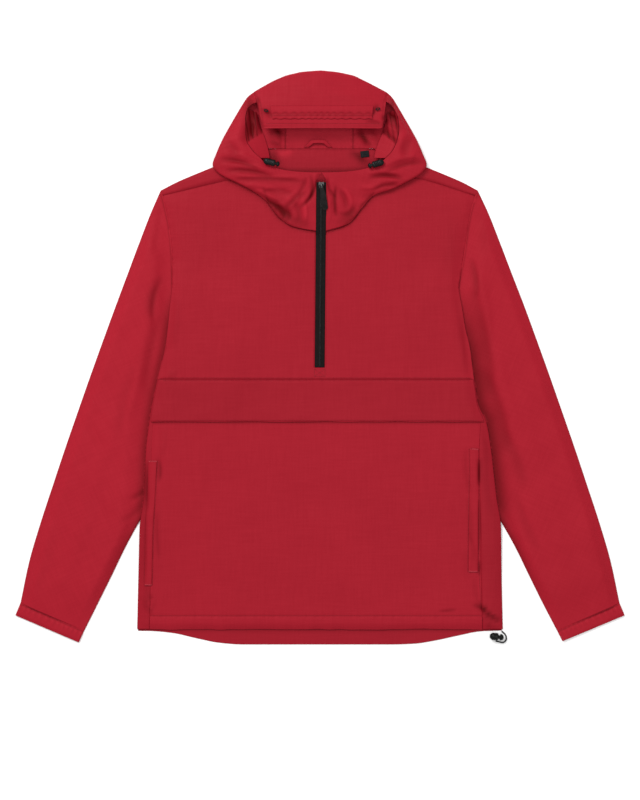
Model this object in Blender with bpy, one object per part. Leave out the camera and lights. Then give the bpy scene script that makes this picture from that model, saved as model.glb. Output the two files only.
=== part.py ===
"""Half-zip anorak pullover in light woven nylon, laid flat on its back with the hood up.

Metres, +Z up.  The garment lies on z = 0 with its front facing up and the hood towards +Y.
The wearer's left side is at +X.  Tables are in millimetres and are scaled by MM.
Every cloth piece is a wall of even thickness round a middle surface.
"""
import math
from collections import namedtuple

import bmesh
import bpy
from mathutils import Matrix, Vector

MM = 0.001

# ---------------------------------------------------------------- driving dimensions (mm)
WALL = 1.2              # thickness of every cloth wall
GAP = 0.3               # clearance between neighbouring pieces
SEAM = 0.4              # clearance along armhole and neck seams
BACK_Z = WALL / 2       # middle surface of what lies on the floor
LAYER = WALL + 0.6      # from the back layer's middle to the front layer's middle
FRONT_Z = BACK_Z + LAYER
ON_TOP = WALL + GAP     # from a panel's middle to the middle of a piece lying on it
FOLD = LAYER / 2        # radius of a pressed side fold
SLEEVE_TOP = 2 * WALL + 0.6 + GAP   # the body is this much higher where it covers a sleeve

HEM_Y = -407.0          # lower edge of the front
HEM_STITCH_Y = -386.6   # top of the hem tunnel
TAIL_Y = -430.0         # lowest point of the dropped back hem
FLAP_TOP_Y = -32.4
FLAP_BOTTOM_Y = -96.0
POCKET_TOP_Y = -46.0    # upper edge of the lower front, under the flap
ZIP_BOTTOM_Y = -15.0
ZIP_TOP_Y = 261.5
ZIP_HALF = 7.15         # half the width of the zip tape
SHOULDER_Y = 249.5      # height of the shoulder tip
STRAIGHT_Y = 150.0      # rows above this bend up to the neck and shoulders
NECK_BACK_Y = 313.1     # back neck seam
UNDERARM_Y = 105.0      # where the armhole seam goes under the body
HOOD_TOP_Y = 430.0

# Rows of the body panels, hem to shoulder.
LEVELS = [HEM_Y, HEM_STITCH_Y, -345, -300, -255, -210, -170, -136, FLAP_BOTTOM_Y, -70,
          POCKET_TOP_Y, FLAP_TOP_Y, ZIP_BOTTOM_Y, 15, 45, 75, UNDERARM_Y, 127, STRAIGHT_Y,
          175, 200, 224, SHOULDER_Y]

# Folded side edges and the side seams that lie in front of them.
Side = namedtuple("Side", "y right_edge right_seam left_seam left_edge")
BODY_SIDES = [
    Side(-430, -274.0, -255.0, 243.0, 274.0),
    Side(HEM_Y, -274.0, -255.0, 243.0, 274.0),
    Side(-345, -272.7, -254.0, 241.5, 272.6),
    Side(-255, -270.2, -253.0, 240.0, 271.2),
    Side(-210, -264.0, -252.5, 239.0, 264.5),
    Side(-136, -260.5, -252.0, 238.0, 256.0),
    Side(FLAP_BOTTOM_Y, -255.5, -250.0, 240.0, 249.0),
    Side(-70, -251.5, -246.0, 231.0, 237.0),
    Side(FLAP_TOP_Y, -243.5, -238.5, 226.0, 230.8),
    Side(15, -231.8, -227.0, 219.5, 224.5),
    Side(45, -228.0, -223.5, 213.0, 217.5),
    Side(UNDERARM_Y, -222.0, -217.0, 203.0, 208.0),
    Side(STRAIGHT_Y, -222.4, -214.0, 207.0, 215.8),
]

# Armhole seam from the underarm up to the shoulder tip.
Armhole = namedtuple("Armhole", "y right left")
ARMHOLES = [
    Armhole(UNDERARM_Y, -222.0, 208.0),
    Armhole(127, -222.0, 211.6),
    Armhole(STRAIGHT_Y, -222.4, 215.8),
    Armhole(175, -224.2, 219.5),
    Armhole(200, -227.5, 223.2),
    Armhole(224, -232.5, 228.0),
    Armhole(SHOULDER_Y, -239.4, 237.0),
]

# Top ends of the body columns, from the armhole to the zip: the front ends at the forward
# shoulder seam and the neck seam, the back at the shoulder fold and the back neck seam.
Column = namedtuple("Column", "x front_y back_y")
COLUMNS = {
    "right": [Column(-239.4, 242.3, SHOULDER_Y), Column(-215, 247.5, 262.0),
              Column(-180, 255.9, 276.9), Column(-130, 268.0, 297.0),
              Column(-88, 277.0, 314.7), Column(-78, 231.0, NECK_BACK_Y),
              Column(-61, 210.0, NECK_BACK_Y), Column(-40, 196.0, NECK_BACK_Y),
              Column(-5.5, 189.6, NECK_BACK_Y)],
    "left": [Column(237.0, 241.5, SHOULDER_Y), Column(213, 248.6, 262.2),
             Column(180, 259.4, 276.3), Column(130, 273.0, 296.4),
             Column(88, 280.0, 314.0), Column(78, 243.0, NECK_BACK_Y),
             Column(63, 226.0, NECK_BACK_Y), Column(42, 201.0, NECK_BACK_Y),
             Column(9.6, 189.5, NECK_BACK_Y)],
}

# Dropped back hem.
TAIL = [(-274, -409.5), (-235, -410), (-200, -417), (-164, -426), (-128, TAIL_Y), (0, TAIL_Y),
        (123, TAIL_Y), (155, -428), (205, -417), (249, -409), (274, -409)]

# Sleeves: outer and inner folds, shoulder to wrist.  The upper inner fold is under the body.
SLEEVE_OUTER = {
    "right": [(-239.4, SHOULDER_Y), (-258, 206.6), (-280.5, 146.6), (-303, 86.6), (-336, -3.5),
              (-357, -63.5), (-378, -123.5), (-408, -213.5), (-427.5, -273.5), (-445, -339),
              (-449, -367)],
    "left": [(237, SHOULDER_Y), (257, 206.6), (279.5, 146.6), (303, 86.6), (336, -3.5),
             (357, -63.5), (378, -123.5), (408, -213.5), (427.5, -273.5), (445.5, -342),
             (449, -367)],
}
SLEEVE_INNER = {
    "right": [(-157, 40), (-172, -40), (-205, -130), (-240, -200), (-270, -245), (-287, -275),
              (-316, -335), (-353, -409)],
    "left": [(150, 40), (168, -40), (204, -130), (240, -200), (271, -246), (288, -275),
             (329, -359), (355, -409)],
}
UNDERARM_BEND = {"right": (-203, 66), "left": (190, 66)}
CUFF_END = {"right": ((-457, -386), (-361, -427)), "left": ((457, -386), (363, -425))}
SLEEVE_RINGS = 12

# Hood side panels with their collar halves, from the centre panel's seam round to the zip.
# base is on the neck seam, fold is the outline, edge is the edge of the opening.
HoodRow = namedtuple("HoodRow", "base_x base_y fold_x fold_y edge_x edge_y radius crest edge_z")
HOOD_SIDES = {
    "right": [
        HoodRow(-52.3, 313.9, -99.5, 397.6, -95.0, 381.5, 5.0, 14.9, 17.3),
        HoodRow(-58, 314.5, -108, 391, -102, 378, 4.0, 13.0, 15.5),
        HoodRow(-64, 315.5, -118, 376.5, -108.5, 371, 3.4, 12.0, 14.0),
        HoodRow(-70, 316.5, -128, 359.5, -111.5, 356, 4.0, 15.5, 14.5),
        HoodRow(-76, 316.5, -138, 342.0, -111.5, 340, 4.5, 17.0, 15.0),
        HoodRow(-81, 313, -147.5, 323.5, -110, 324, 5.0, 18.0, 15.5),
        HoodRow(-85, 306, -155, 306.0, -101, 309, 5.0, 18.0, 15.5),
        HoodRow(-88, 296, -161, 288.0, -89, 297.5, 4.6, 17.5, 15.0),
        HoodRow(-88, 284, -152, 275.5, -80, 288.0, 4.0, 17.0, 14.5),
        HoodRow(-87, 270, -124, 261.0, -68, 283.5, 4.0, 15.0, 15.0),
        HoodRow(-85, 253, -98, 247.0, -55, 280.0, 3.4, 14.0, 15.5),
        HoodRow(-72, 239, -79, 232.0, -42, 278.0, 2.2, 12.5, 15.5),
        HoodRow(-55, 216, -61.5, 209.6, -28, 276.8, 1.6, 11.5, 15.5),
        HoodRow(-36, 203, -40, 195.8, -15, 276.2, 1.3, 11.0, 15.5),
        HoodRow(-5.4, 197, -5.4, 189.4, -4.8, 276, 1.2, 11.0, 15.5),
    ],
    "left": [
        HoodRow(49.8, 313.9, 101.4, 396.8, 99.1, 381.5, 5.0, 14.9, 17.3),
        HoodRow(56, 314.5, 108, 390, 104, 378, 4.0, 13.0, 15.5),
        HoodRow(62, 315.5, 116.5, 376.5, 111.5, 369, 3.4, 12.0, 14.0),
        HoodRow(69, 316.5, 126.5, 359.5, 117, 355, 3.6, 14.5, 14.5),
        HoodRow(76, 316.5, 136.5, 342.0, 118, 338, 4.2, 16.0, 15.0),
        HoodRow(81, 313, 146, 323.5, 115, 323, 5.0, 18.0, 15.5),
        HoodRow(85, 306, 153.5, 306.0, 108, 308, 5.0, 18.0, 15.5),
        HoodRow(88, 296, 160, 288.0, 98, 297.5, 4.6, 17.5, 15.0),
        HoodRow(88, 284, 154, 277.5, 87, 288.0, 4.0, 17.0, 14.5),
        HoodRow(87, 272, 133, 264.0, 74, 283.5, 4.0, 15.0, 15.0),
        HoodRow(85, 259, 107, 251.5, 60, 280.0, 3.4, 14.0, 15.5),
        HoodRow(74, 247, 81, 242.5, 47, 278.0, 2.2, 12.5, 15.5),
        HoodRow(57, 229, 63.5, 224.4, 33, 276.8, 1.6, 11.5, 15.5),
        HoodRow(38.5, 207, 42.5, 200.2, 20, 276.2, 1.3, 11.0, 15.5),
        HoodRow(9.7, 197, 9.7, 189.4, 10.2, 276, 1.2, 11.0, 15.5),
    ],
}
COLLAR_TOP_X = 2.6      # where the two collar halves meet above the slider

# Crown outline of the centre panel and its brim.
CROWN = [(-99, 398), (-87, 405), (-72, 413.5), (-51, 422.5), (-27, 428), (0, HOOD_TOP_Y),
         (27, 427.5), (50, 422.5), (69, 413.5), (85.5, 405), (100.8, 397)]
HOOD_BACK_X = (-51.9, 49.4)
BRIM_X = (-84.0, 93.0)
BRIM_Y = 345.6
CROWN_RADIUS = (5.0, 6.2)     # at the seams and in the middle
CROWN_CREST = (24.0, 27.0)
BRIM_Z = (20.0, 22.5)
CENTRE_COLUMNS = 10

# Facings that show inside the edges of the hood opening: inner edge by row of the side panel.
Facing = namedtuple("Facing", "row x y z")
FACINGS = {
    "right": [Facing(2, -94.5, 367, 7.5), Facing(3, -91, 352, 7.0), Facing(4, -86, 338, 6.6),
              Facing(5, -81, 323, 6.4), Facing(6, -77, 308, 6.6), Facing(7, -75.5, 298.5, 8.0)],
    "left": [Facing(2, 101, 366, 7.5), Facing(3, 98.5, 352, 7.0), Facing(4, 94, 338, 6.6),
             Facing(5, 88, 323, 6.4), Facing(6, 83, 308, 6.6), Facing(7, 81, 298.5, 8.0)],
}

# Side pocket welts: middle line and width by height.
Welt = namedtuple("Welt", "y x width")
WELTS = {
    "right": [Welt(-154.5, -250.5, 13), Welt(-210, -253.0, 12), Welt(-255, -255.5, 11.5),
              Welt(-300, -256.5, 11), Welt(-341, -257.5, 11)],
    "left": [Welt(-136, 230.5, 13), Welt(-170, 231.0, 13), Welt(-210, 230.5, 13.5),
             Welt(-255, 230.0, 14), Welt(-300, 229.5, 14), Welt(-321, 229.5, 14)],
}

# Cord locks: a barrel with a sprung button, both turned, then flattened.
Lock = namedtuple("Lock", "x y z heading barrel_length barrel_radius flatness head_length")
LOCKS = {
    "hood_lock_right": Lock(-72.0, 290.3, 19.9, -14.0, 17.5, 4.9, 0.72, 4.2),
    "hood_lock_left": Lock(83.3, 288.0, 20.4, 196.0, 17.5, 4.9, 0.72, 4.2),
    "hem_lock": Lock(264.6, -418.0, 5.4, -6.0, 12.6, 5.6, 0.9, 5.4),
}
BUTTON_TRAVEL = 2.4
BORE_DEPTH = 0.6        # of the barrel's length
LOCK_SIDES = 20

# Elastic loop at the hem, from the tunnel round into the lock.
ELASTIC_ROUTE = [(272.4, -410.2, 1.6), (274.6, -412.0, 1.6), (277.2, -414.4, 1.7),
                 (278.9, -418.0, 1.8), (279.2, -421.8, 1.9), (277.6, -425.0, 2.0),
                 (274.6, -426.9, 2.2), (271.2, -426.7, 2.4), (268.2, -425.8, 2.8),
                 (265.4, -425.0, 3.4), (263.4, -424.8, 3.6)]
ELASTIC_DIAMETER = 2.2

# Zip slider and pull tab.
SLIDER_Y = 257.5
SLIDER_SIZE = (8.6, 9.6, 2.6)
BRIDGE_SIZE = (2.0, 6.4, 3.6)
BRIDGE_TUNNEL = (4.2, 2.6)
PULL_AXIS_Y = 257.5
PULL_AXIS_LIFT = 1.35
PULL_SWING = 9.5        # degrees towards the wearer's left
PULL_DROP = 10.0        # degrees below level
PULL_LENGTH = 38.0
PULL_WALL = 1.2


# ---------------------------------------------------------------- small helpers
def mix(a, b, t):
    return a + (b - a) * t


def smooth(low, high, value):
    t = min(max((value - low) / (high - low), 0.0), 1.0)
    return t * t * (3 - 2 * t)


def along(points, value):
    """Read y from a table of (x, y) pairs sorted by x."""
    if value <= points[0][0]:
        return points[0][1]
    for (x0, y0), (x1, y1) in zip(points, points[1:]):
        if value <= x1:
            return mix(y0, y1, (value - x0) / (x1 - x0))
    return points[-1][1]


def side_x(field, y):
    return along([(row.y, getattr(row, field)) for row in BODY_SIDES], y)


def armhole_x(side, y):
    return along([(row.y, getattr(row, side)) for row in ARMHOLES], y)


def path_point(points, fraction):
    """Point at a fraction of the length of a polyline."""
    steps = [math.dist(a, b) for a, b in zip(points, points[1:])]
    target = fraction * sum(steps)
    for a, b, step in zip(points, points[1:], steps):
        if target <= step:
            return [mix(p, q, target / step) for p, q in zip(a, b)]
        target -= step
    return list(points[-1])


def distance_to_polygon(x, y, corners):
    """Distance outside a closed outline, and zero inside it."""
    point = Vector((x, y))
    inside = False
    nearest = math.inf
    for a, b in zip(corners, corners[1:] + corners[:1]):
        if (a[1] > y) != (b[1] > y) and x < mix(a[0], b[0], (y - a[1]) / (b[1] - a[1])):
            inside = not inside
        start = Vector(a)
        run = Vector(b) - start
        t = min(max((point - start).dot(run) / run.length_squared, 0.0), 1.0)
        nearest = min(nearest, (start + run * t - point).length)
    return 0.0 if inside else nearest


HIDDEN_SLEEVES = {
    side: [(armhole_x(side, UNDERARM_Y), UNDERARM_Y), UNDERARM_BEND[side]]
          + SLEEVE_INNER[side][:5] + [(side_x(side + "_edge", -130), -130)]
    for side in ("right", "left")
}
LIFT_MARGIN = 30.0
LIFT_RAMP = 52.0


def lift(x, y):
    """Height of the body over the sleeve that lies under its side."""
    side = "right" if x < 0 else "left"
    away = distance_to_polygon(x, y, HIDDEN_SLEEVES[side])
    over = 1 - smooth(LIFT_MARGIN, LIFT_MARGIN + LIFT_RAMP, away)
    return SLEEVE_TOP * over * (1 - smooth(108, STRAIGHT_Y, y))


def zip_x(y):
    return 2.0 - 2.5 * (ZIP_TOP_Y - y) / (ZIP_TOP_Y - ZIP_BOTTOM_Y)


# ---------------------------------------------------------------- Blender helpers
def clear_scene():
    for item in list(bpy.data.objects):
        bpy.data.objects.remove(item, do_unlink=True)


FINISHES = {
    "red nylon": ((0.40, 0.016, 0.028), 0.62, 0.0),
    "black tape": ((0.012, 0.011, 0.011), 0.70, 0.0),
    "black plastic": ((0.012, 0.014, 0.014), 0.38, 0.0),
    "grey zinc": ((0.16, 0.17, 0.165), 0.35, 0.8),
    "black label": ((0.015, 0.015, 0.016), 0.60, 0.0),
    "black elastic": ((0.010, 0.010, 0.010), 0.75, 0.0),
}


def make_material(node, finish):
    colour, roughness, metallic = FINISHES[finish]
    material = bpy.data.materials.new(node + "_" + finish.replace(" ", "_"))
    material.use_nodes = True
    shader = material.node_tree.nodes["Principled BSDF"]
    shader.inputs["Base Color"].default_value = (*colour, 1.0)
    shader.inputs["Roughness"].default_value = roughness
    shader.inputs["Metallic"].default_value = metallic
    return material


def add_object(name, data, finish):
    item = bpy.data.objects.new(name, data)
    bpy.context.scene.collection.objects.link(item)
    data.materials.append(make_material(name, finish))
    return item


def mesh_object(name, bm, finish):
    mesh = bpy.data.meshes.new(name)
    bm.to_mesh(mesh)
    bm.free()
    return add_object(name, mesh, finish)


def grid_bmesh(rows, closed=False):
    """Middle surface through rows of points in millimetres."""
    bm = bmesh.new()
    across = len(rows[0])
    spans = across if closed else across - 1
    bmesh.ops.create_grid(bm, x_segments=spans, y_segments=len(rows) - 1, size=1)
    bm.verts.ensure_lookup_table()
    for j, row in enumerate(rows):
        for i in range(spans + 1):
            bm.verts[j * (spans + 1) + i].co = Vector(row[i % across]) * MM
    if closed:
        bmesh.ops.remove_doubles(bm, verts=bm.verts, dist=1e-7)
    return bm


def thicken(item, wall=WALL):
    solid = item.modifiers.new("Wall", "SOLIDIFY")
    solid.thickness = wall * MM
    solid.offset = 0.0
    solid.use_even_offset = True
    solid.use_quality_normals = True
    return item


def cloth(name, rows, finish="red nylon", wall=WALL, closed=False):
    return thicken(mesh_object(name, grid_bmesh(rows, closed), finish), wall)


# ---------------------------------------------------------------- body
def column_x(side, index, level, y):
    """Plan position of a body column: 0 at the edge, 1 at the seam, the last at the zip."""
    last = len(COLUMNS[side]) - 1
    inward = 1 if side == "right" else -1
    slot = zip_x(y) - inward * (ZIP_HALF + SEAM)
    if index == last:
        return slot
    if index == 0 and level > UNDERARM_Y:
        return armhole_x(side, y) + inward * SEAM
    if index == 0:
        return side_x(side + "_edge", y) + inward * SEAM
    seam = side_x(side + "_seam", min(level, STRAIGHT_Y))
    x = mix(seam, slot, (index - 1) / (last - 1))
    if level > STRAIGHT_Y:
        top = COLUMNS[side][index].x
        x = mix(x, top, (level - STRAIGHT_Y) / (SHOULDER_Y - STRAIGHT_Y))
    return x


def body_row(level, field, height, first=0):
    """One row of a body panel, from the wearer's right to the left."""
    row = []
    for side in ("right", "left"):
        half = []
        for index in range(first, len(COLUMNS[side])):
            y = level
            top = getattr(COLUMNS[side][index], field)
            if index == 0:
                y = min(level, top)
            elif level > STRAIGHT_Y:
                y = mix(STRAIGHT_Y, top, (level - STRAIGHT_Y) / (SHOULDER_Y - STRAIGHT_Y))
            x = column_x(side, index, level, y)
            half.append((x, y, height + lift(x, y)))
        row += half if side == "right" else half[::-1]
    return row


def delete_faces(bm, unwanted):
    faces = [face for face in bm.faces if unwanted(face.calc_center_median() / MM)]
    bmesh.ops.delete(bm, geom=faces, context="FACES")


def build_front_chest():
    levels = [y for y in LEVELS if y >= FLAP_TOP_Y]
    bm = grid_bmesh([body_row(y, "front_y", FRONT_Z) for y in levels])

    def cut_away(centre):
        slot = abs(centre.x - zip_x(centre.y)) < ZIP_HALF and centre.y > ZIP_BOTTOM_Y
        side = "right" if centre.x < 0 else "left"
        beyond = abs(centre.x) > abs(side_x(side + "_seam", centre.y)) and centre.y < UNDERARM_Y
        return slot or beyond

    delete_faces(bm, cut_away)
    return thicken(mesh_object("front_chest", bm, "red nylon"))


def build_front_lower():
    levels = [y for y in LEVELS if y <= POCKET_TOP_Y]
    cloth("front_lower", [body_row(y, "front_y", FRONT_Z, first=1) for y in levels])


def build_chest_flap():
    rows = []
    for y in (FLAP_TOP_Y - GAP, FLAP_TOP_Y - 11, -70, FLAP_BOTTOM_Y):
        on_seam = y > FLAP_TOP_Y - 1
        row = body_row(y, "front_y", FRONT_Z + (0 if on_seam else ON_TOP), first=1)
        for end, side in ((0, "right"), (-1, "left")):
            x = mix(side_x(side + "_seam", y), side_x(side + "_edge", y), 0.6)
            row[end] = (x, y, FRONT_Z + ON_TOP + lift(x, y))
        rows.append(row)
    cloth("chest_flap", rows)


def fold_over(bm, picks, steps):
    """Extrude chosen border edges through the given moves, one fold after another."""
    edges = [edge for edge in bm.edges if edge.is_boundary and picks(edge)]
    for step in steps:
        made = bmesh.ops.extrude_edge_only(bm, edges=edges)["geom"]
        edges = [item for item in made if isinstance(item, bmesh.types.BMEdge)]
        for vert in {vert for edge in edges for vert in edge.verts}:
            vert.co = Vector(step(vert.co / MM)) * MM


def build_back_panel():
    rows = []
    tail = body_row(HEM_Y, "back_y", BACK_Z)
    rows.append([(x, along(TAIL, x), z) for x, y, z in tail])
    rows += [body_row(level, "back_y", BACK_Z) for level in LEVELS]
    inset = FOLD + WALL / 2 - SEAM
    for row in rows:
        if row[0][1] <= UNDERARM_Y:
            row[0] = (row[0][0] + inset, row[0][1], row[0][2])
            row[-1] = (row[-1][0] - inset, row[-1][1], row[-1][2])
    bm = grid_bmesh(rows)

    def is_side(edge):
        a, b = (vert.co / MM for vert in edge.verts)
        level = all(HEM_Y - 0.1 < p.y < UNDERARM_Y + 0.1 for p in (a, b))
        return level and min(abs(a.x), abs(b.x)) > 150 and abs(a.y - b.y) > 1

    def outward(p):
        return -1 if p.x < 0 else 1

    def below_armhole(y):
        return min(y, UNDERARM_Y - GAP)

    def side_seam(p):
        side = "right" if p.x < 0 else "left"
        return side_x(side + "_seam", p.y) + outward(p) * GAP

    fold_over(bm, is_side, [
        lambda p: (p.x + outward(p) * FOLD, below_armhole(p.y), p.z + FOLD),
        lambda p: (p.x - outward(p) * FOLD, below_armhole(p.y), p.z + FOLD),
        lambda p: (side_seam(p), p.y, p.z)])

    def is_shoulder(edge):
        a, b = (vert.co / MM for vert in edge.verts)
        return min(a.y, b.y) > SHOULDER_Y - 1 and min(abs(a.x), abs(b.x)) > 87 and a.z < 1

    def shoulder_seam(x):
        side = "right" if x < 0 else "left"
        columns = sorted((abs(c.x), c.front_y) for c in COLUMNS[side][:5])
        return along(columns, abs(x))

    def on_armhole(x, y, z):
        side = "right" if x < 0 else "left"
        limit = abs(armhole_x(side, y)) - SEAM
        return (max(-limit, min(limit, x)), y, z)

    fold_over(bm, is_shoulder, [
        lambda p: (p.x, p.y + FOLD / 2, p.z + FOLD),
        lambda p: (p.x, p.y - FOLD / 2, p.z + FOLD),
        lambda p: on_armhole(p.x, shoulder_seam(p.x) + SEAM, p.z)])
    return thicken(mesh_object("back_panel", bm, "red nylon"))


def front_height(x, y):
    """Middle surface of the front panels at a point, read between their rows."""
    above = min(level for level in LEVELS if level >= y)
    below = max(level for level in LEVELS if level <= y)
    heights = [along([(p[0], p[2]) for p in body_row(level, "front_y", FRONT_Z)], x)
               for level in (below, above)]
    return mix(*heights, (y - below) / max(above - below, 1))


def build_welts():
    for side, table in WELTS.items():
        rows = []
        for welt in table:
            xs = [welt.x + offset * welt.width for offset in (-0.5, 0.0, 0.5)]
            rows.append([(x, welt.y, front_height(x, welt.y) + ON_TOP) for x in xs])
        cloth("pocket_welt_" + side, rows)


# ---------------------------------------------------------------- sleeves
def flat_ring(outer, inner, layer_points, wall, clear):
    """A pressed tube's ring: lower layer, inner fold, upper layer, outer fold."""
    radius = (wall + clear) / 2
    low = wall / 2
    across = Vector(inner) - Vector(outer)
    run = across.normalized()
    ring = [(p[0], p[1], low) for p in layer_points]
    tip = Vector(inner) - run * (wall / 2)
    ring.append((tip.x, tip.y, low + radius))
    ring += [(p[0], p[1], low + 2 * radius) for p in reversed(layer_points)]
    tip = Vector(outer) + run * (wall / 2)
    ring.append((tip.x, tip.y, low + radius))
    return ring


def layer_line(outer, inner, fractions, bend, wall, clear):
    """Points of one pressed layer, just inside its two folds, pushed sideways by bend."""
    start = Vector(outer)
    end = Vector(inner)
    run = (end - start).normalized()
    inset = (wall + clear) / 2 + wall / 2
    start += run * inset
    end -= run * inset
    return [start.lerp(end, f) + Vector(b) for f, b in zip(fractions, bend)]


def build_sleeve(side):
    outward = -1 if side == "right" else 1
    outer_path = SLEEVE_OUTER[side]
    inner_path = SLEEVE_INNER[side]
    seam = [Vector((row_x, y)) for y, row_x in
            ((row.y, getattr(row, side)) for row in reversed(ARMHOLES))]
    seam += [Vector(UNDERARM_BEND[side]), Vector(inner_path[0])]
    start = Vector(outer_path[0])
    end = Vector(inner_path[0])
    chord = end - start
    at_seam = [(p - start).dot(chord) / chord.length_squared for p in seam]
    bends = [p - start.lerp(end, f) for p, f in zip(seam, at_seam)]
    count = len(seam)
    rows = []
    for ring in range(SLEEVE_RINGS + 1):
        s = (ring / SLEEVE_RINGS) ** 1.15
        outer = path_point(outer_path, s)
        inner = path_point(inner_path, s)
        spread = min(s / 0.3, 1.0)
        fractions = [mix(f, i / (count - 1), spread) for i, f in enumerate(at_seam)]
        fade = max(1 - s / 0.4, 0.0) ** 2
        shift = Vector((outward * SEAM / 2, 0)) * (1 if ring == 0 else 0)
        bend = [b * fade + shift for b in bends]
        points = layer_line(outer, inner, fractions, bend, WALL, 0.6)
        rows.append(flat_ring(outer, inner, points, WALL, 0.6))
    cloth("sleeve_" + side, rows, closed=True)
    build_cuff(side, Vector(outer_path[-1]), Vector(inner_path[-1]))


def build_cuff(side, outer, inner):
    end_outer, end_inner = (Vector(p) for p in CUFF_END[side])
    inset = GAP / (end_outer - outer).length
    wall = 1.4
    clear = 0.3
    rows = []
    for t in (inset, 0.12, 0.55, 1.0):
        a = outer.lerp(end_outer, t)
        b = inner.lerp(end_inner, t)
        fractions = [i / 6 for i in range(7)]
        points = layer_line(a, b, fractions, [(0, 0)] * 7, wall, clear)
        rows.append(flat_ring(a, b, points, wall, clear))
    cloth("cuff_" + side, rows, wall=wall, closed=True)


# ---------------------------------------------------------------- hood and collar
def hood_rest(x, y):
    """Height of what the hood's lower layer lies on: the shoulders, or the floor."""
    shoulder = SHOULDER_Y + (239 - abs(x)) * 0.44
    on_body = 1 - smooth(25, 45, y - shoulder)
    beside_neck = max(smooth(60, 84, abs(x)), 1 - smooth(280, 305, y))
    return (FRONT_Z + WALL / 2 + GAP) * on_body * beside_neck


def curve_height(low, middle, high, s):
    return (1 - s) ** 2 * low + 2 * s * (1 - s) * middle + s * s * high


BOTTOM_STEPS = (0.0, 0.34, 0.67, 1.0)
FOLD_ANGLES = (-45, 0, 45)
TOP_STEPS = (0.0, 0.14, 0.32, 0.52, 0.7, 0.84, 1.0)


def hood_section(base, fold, edge, radius, crest, edge_z, turn=None):
    """One section: out along the bottom layer, round the fold, back in over the top."""
    base = Vector(base)
    fold = Vector(fold)
    edge = Vector(edge)
    out = (fold - base).normalized()
    back = (edge - fold).normalized()
    reach = min(radius, 0.8 * (fold - base).length)
    rest = hood_rest(*(fold - out * radius)) + BACK_Z
    low_end = fold - out * (reach + WALL / 2)
    points = []
    for s in BOTTOM_STEPS:
        p = base.lerp(low_end, s)
        if turn:
            p = turn(p)
        points.append((p.x, p.y, hood_rest(p.x, p.y) + BACK_Z))
    rest = points[-1][2]
    top_start = fold + back * (radius + WALL / 2)
    for angle in FOLD_ANGLES:
        turned = math.radians(angle)
        centre = low_end.lerp(top_start, (angle + 90) / 180)
        tip = fold - out * (WALL / 2)
        p = centre.lerp(tip, math.cos(turned))
        if turn:
            p = turn(p)
        points.append((p.x, p.y, rest + radius * (1 + math.sin(turned))))
    for s in TOP_STEPS:
        p = top_start.lerp(edge, s)
        if turn:
            p = turn(p)
        z = curve_height(rest + 2 * radius, crest, edge_z, s)
        points.append((p.x, p.y, z))
    return points


def hood_side_rows(side):
    rows = []
    table = HOOD_SIDES[side]
    slot = -1 if side == "right" else 1

    def close_above_zip(p):
        x = zip_x(p.y) + slot * (ZIP_HALF + SEAM)
        close = smooth(ZIP_TOP_Y + 1, 276, p.y)
        return Vector((mix(x, COLLAR_TOP_X + slot * GAP / 2, close), p.y))

    for index, row in enumerate(table):
        turn = close_above_zip if index == len(table) - 1 else None
        rows.append(hood_section((row.base_x, row.base_y), (row.fold_x, row.fold_y),
                                 (row.edge_x, row.edge_y), row.radius, row.crest, row.edge_z,
                                 turn))
    return rows


def centre_section(t):
    """Section of the centre panel at a fraction t from the right seam to the left seam."""
    side = math.sin(math.pi * t)
    base = (mix(*HOOD_BACK_X, t), NECK_BACK_Y + SEAM + GAP)
    fold_x = mix(CROWN[0][0], CROWN[-1][0], t)
    fold = (fold_x, along(CROWN, fold_x))
    edge = (mix(*BRIM_X, t), BRIM_Y)
    return hood_section(base, fold, edge, mix(*CROWN_RADIUS, side), mix(*CROWN_CREST, side),
                        mix(*BRIM_Z, side))


def build_hood():
    for side in ("right", "left"):
        cloth("hood_side_" + side, hood_side_rows(side))
    cloth("hood_centre", [centre_section(i / CENTRE_COLUMNS) for i in range(CENTRE_COLUMNS + 1)])


def brim_point(t, y, lifted):
    """Point over the brim at fraction t across and height y, moved up by lifted."""
    section = centre_section(t)
    first = len(BOTTOM_STEPS) + len(FOLD_ANGLES)
    top = section[first:]
    heights = sorted((p[1], p[2]) for p in top)
    across = sorted((p[1], p[0]) for p in top)
    return (along(across, y), y, along(heights, y) + lifted)


def build_brim_channel():
    columns = [0.092] + [i / CENTRE_COLUMNS for i in range(1, CENTRE_COLUMNS)] + [0.905]
    rows = [[brim_point(t, y, ON_TOP + 0.2) for t in columns]
            for y in (359.0, 363.0, 367.5, 372.0, 376.5)]
    cloth("brim_channel", rows, wall=WALL)


def build_brim_eyelets():
    for side, x, y, heading in (("right", -80.2, 367.2, -16), ("left", 86.2, 369.6, 14)):
        t = (x - mix(*BRIM_X, 0)) / (BRIM_X[1] - BRIM_X[0])
        z = brim_point(min(max(t, 0), 1), y, 0)[2] + WALL / 2 + 4 * GAP
        bm = bmesh.new()
        bmesh.ops.create_circle(bm, segments=20, radius=1.3 * MM, cap_ends=False)
        made = bmesh.ops.extrude_edge_only(bm, edges=bm.edges[:])["geom"]
        rim = [item for item in made if isinstance(item, bmesh.types.BMVert)]
        bmesh.ops.scale(bm, verts=rim, vec=(2.1, 2.1, 1))
        made = bmesh.ops.extrude_face_region(bm, geom=bm.faces[:])["geom"]
        top = [item for item in made if isinstance(item, bmesh.types.BMVert)]
        bmesh.ops.translate(bm, verts=top, vec=(0, 0, 1.1 * MM))
        bmesh.ops.scale(bm, verts=bm.verts, vec=(1.35, 0.75, 1))
        bmesh.ops.recalc_face_normals(bm, faces=bm.faces)
        item = mesh_object("brim_eyelet_" + side, bm, "black plastic")
        item.location = Vector((x, y, z)) * MM
        item.rotation_euler = (0, 0, math.radians(heading))


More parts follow.
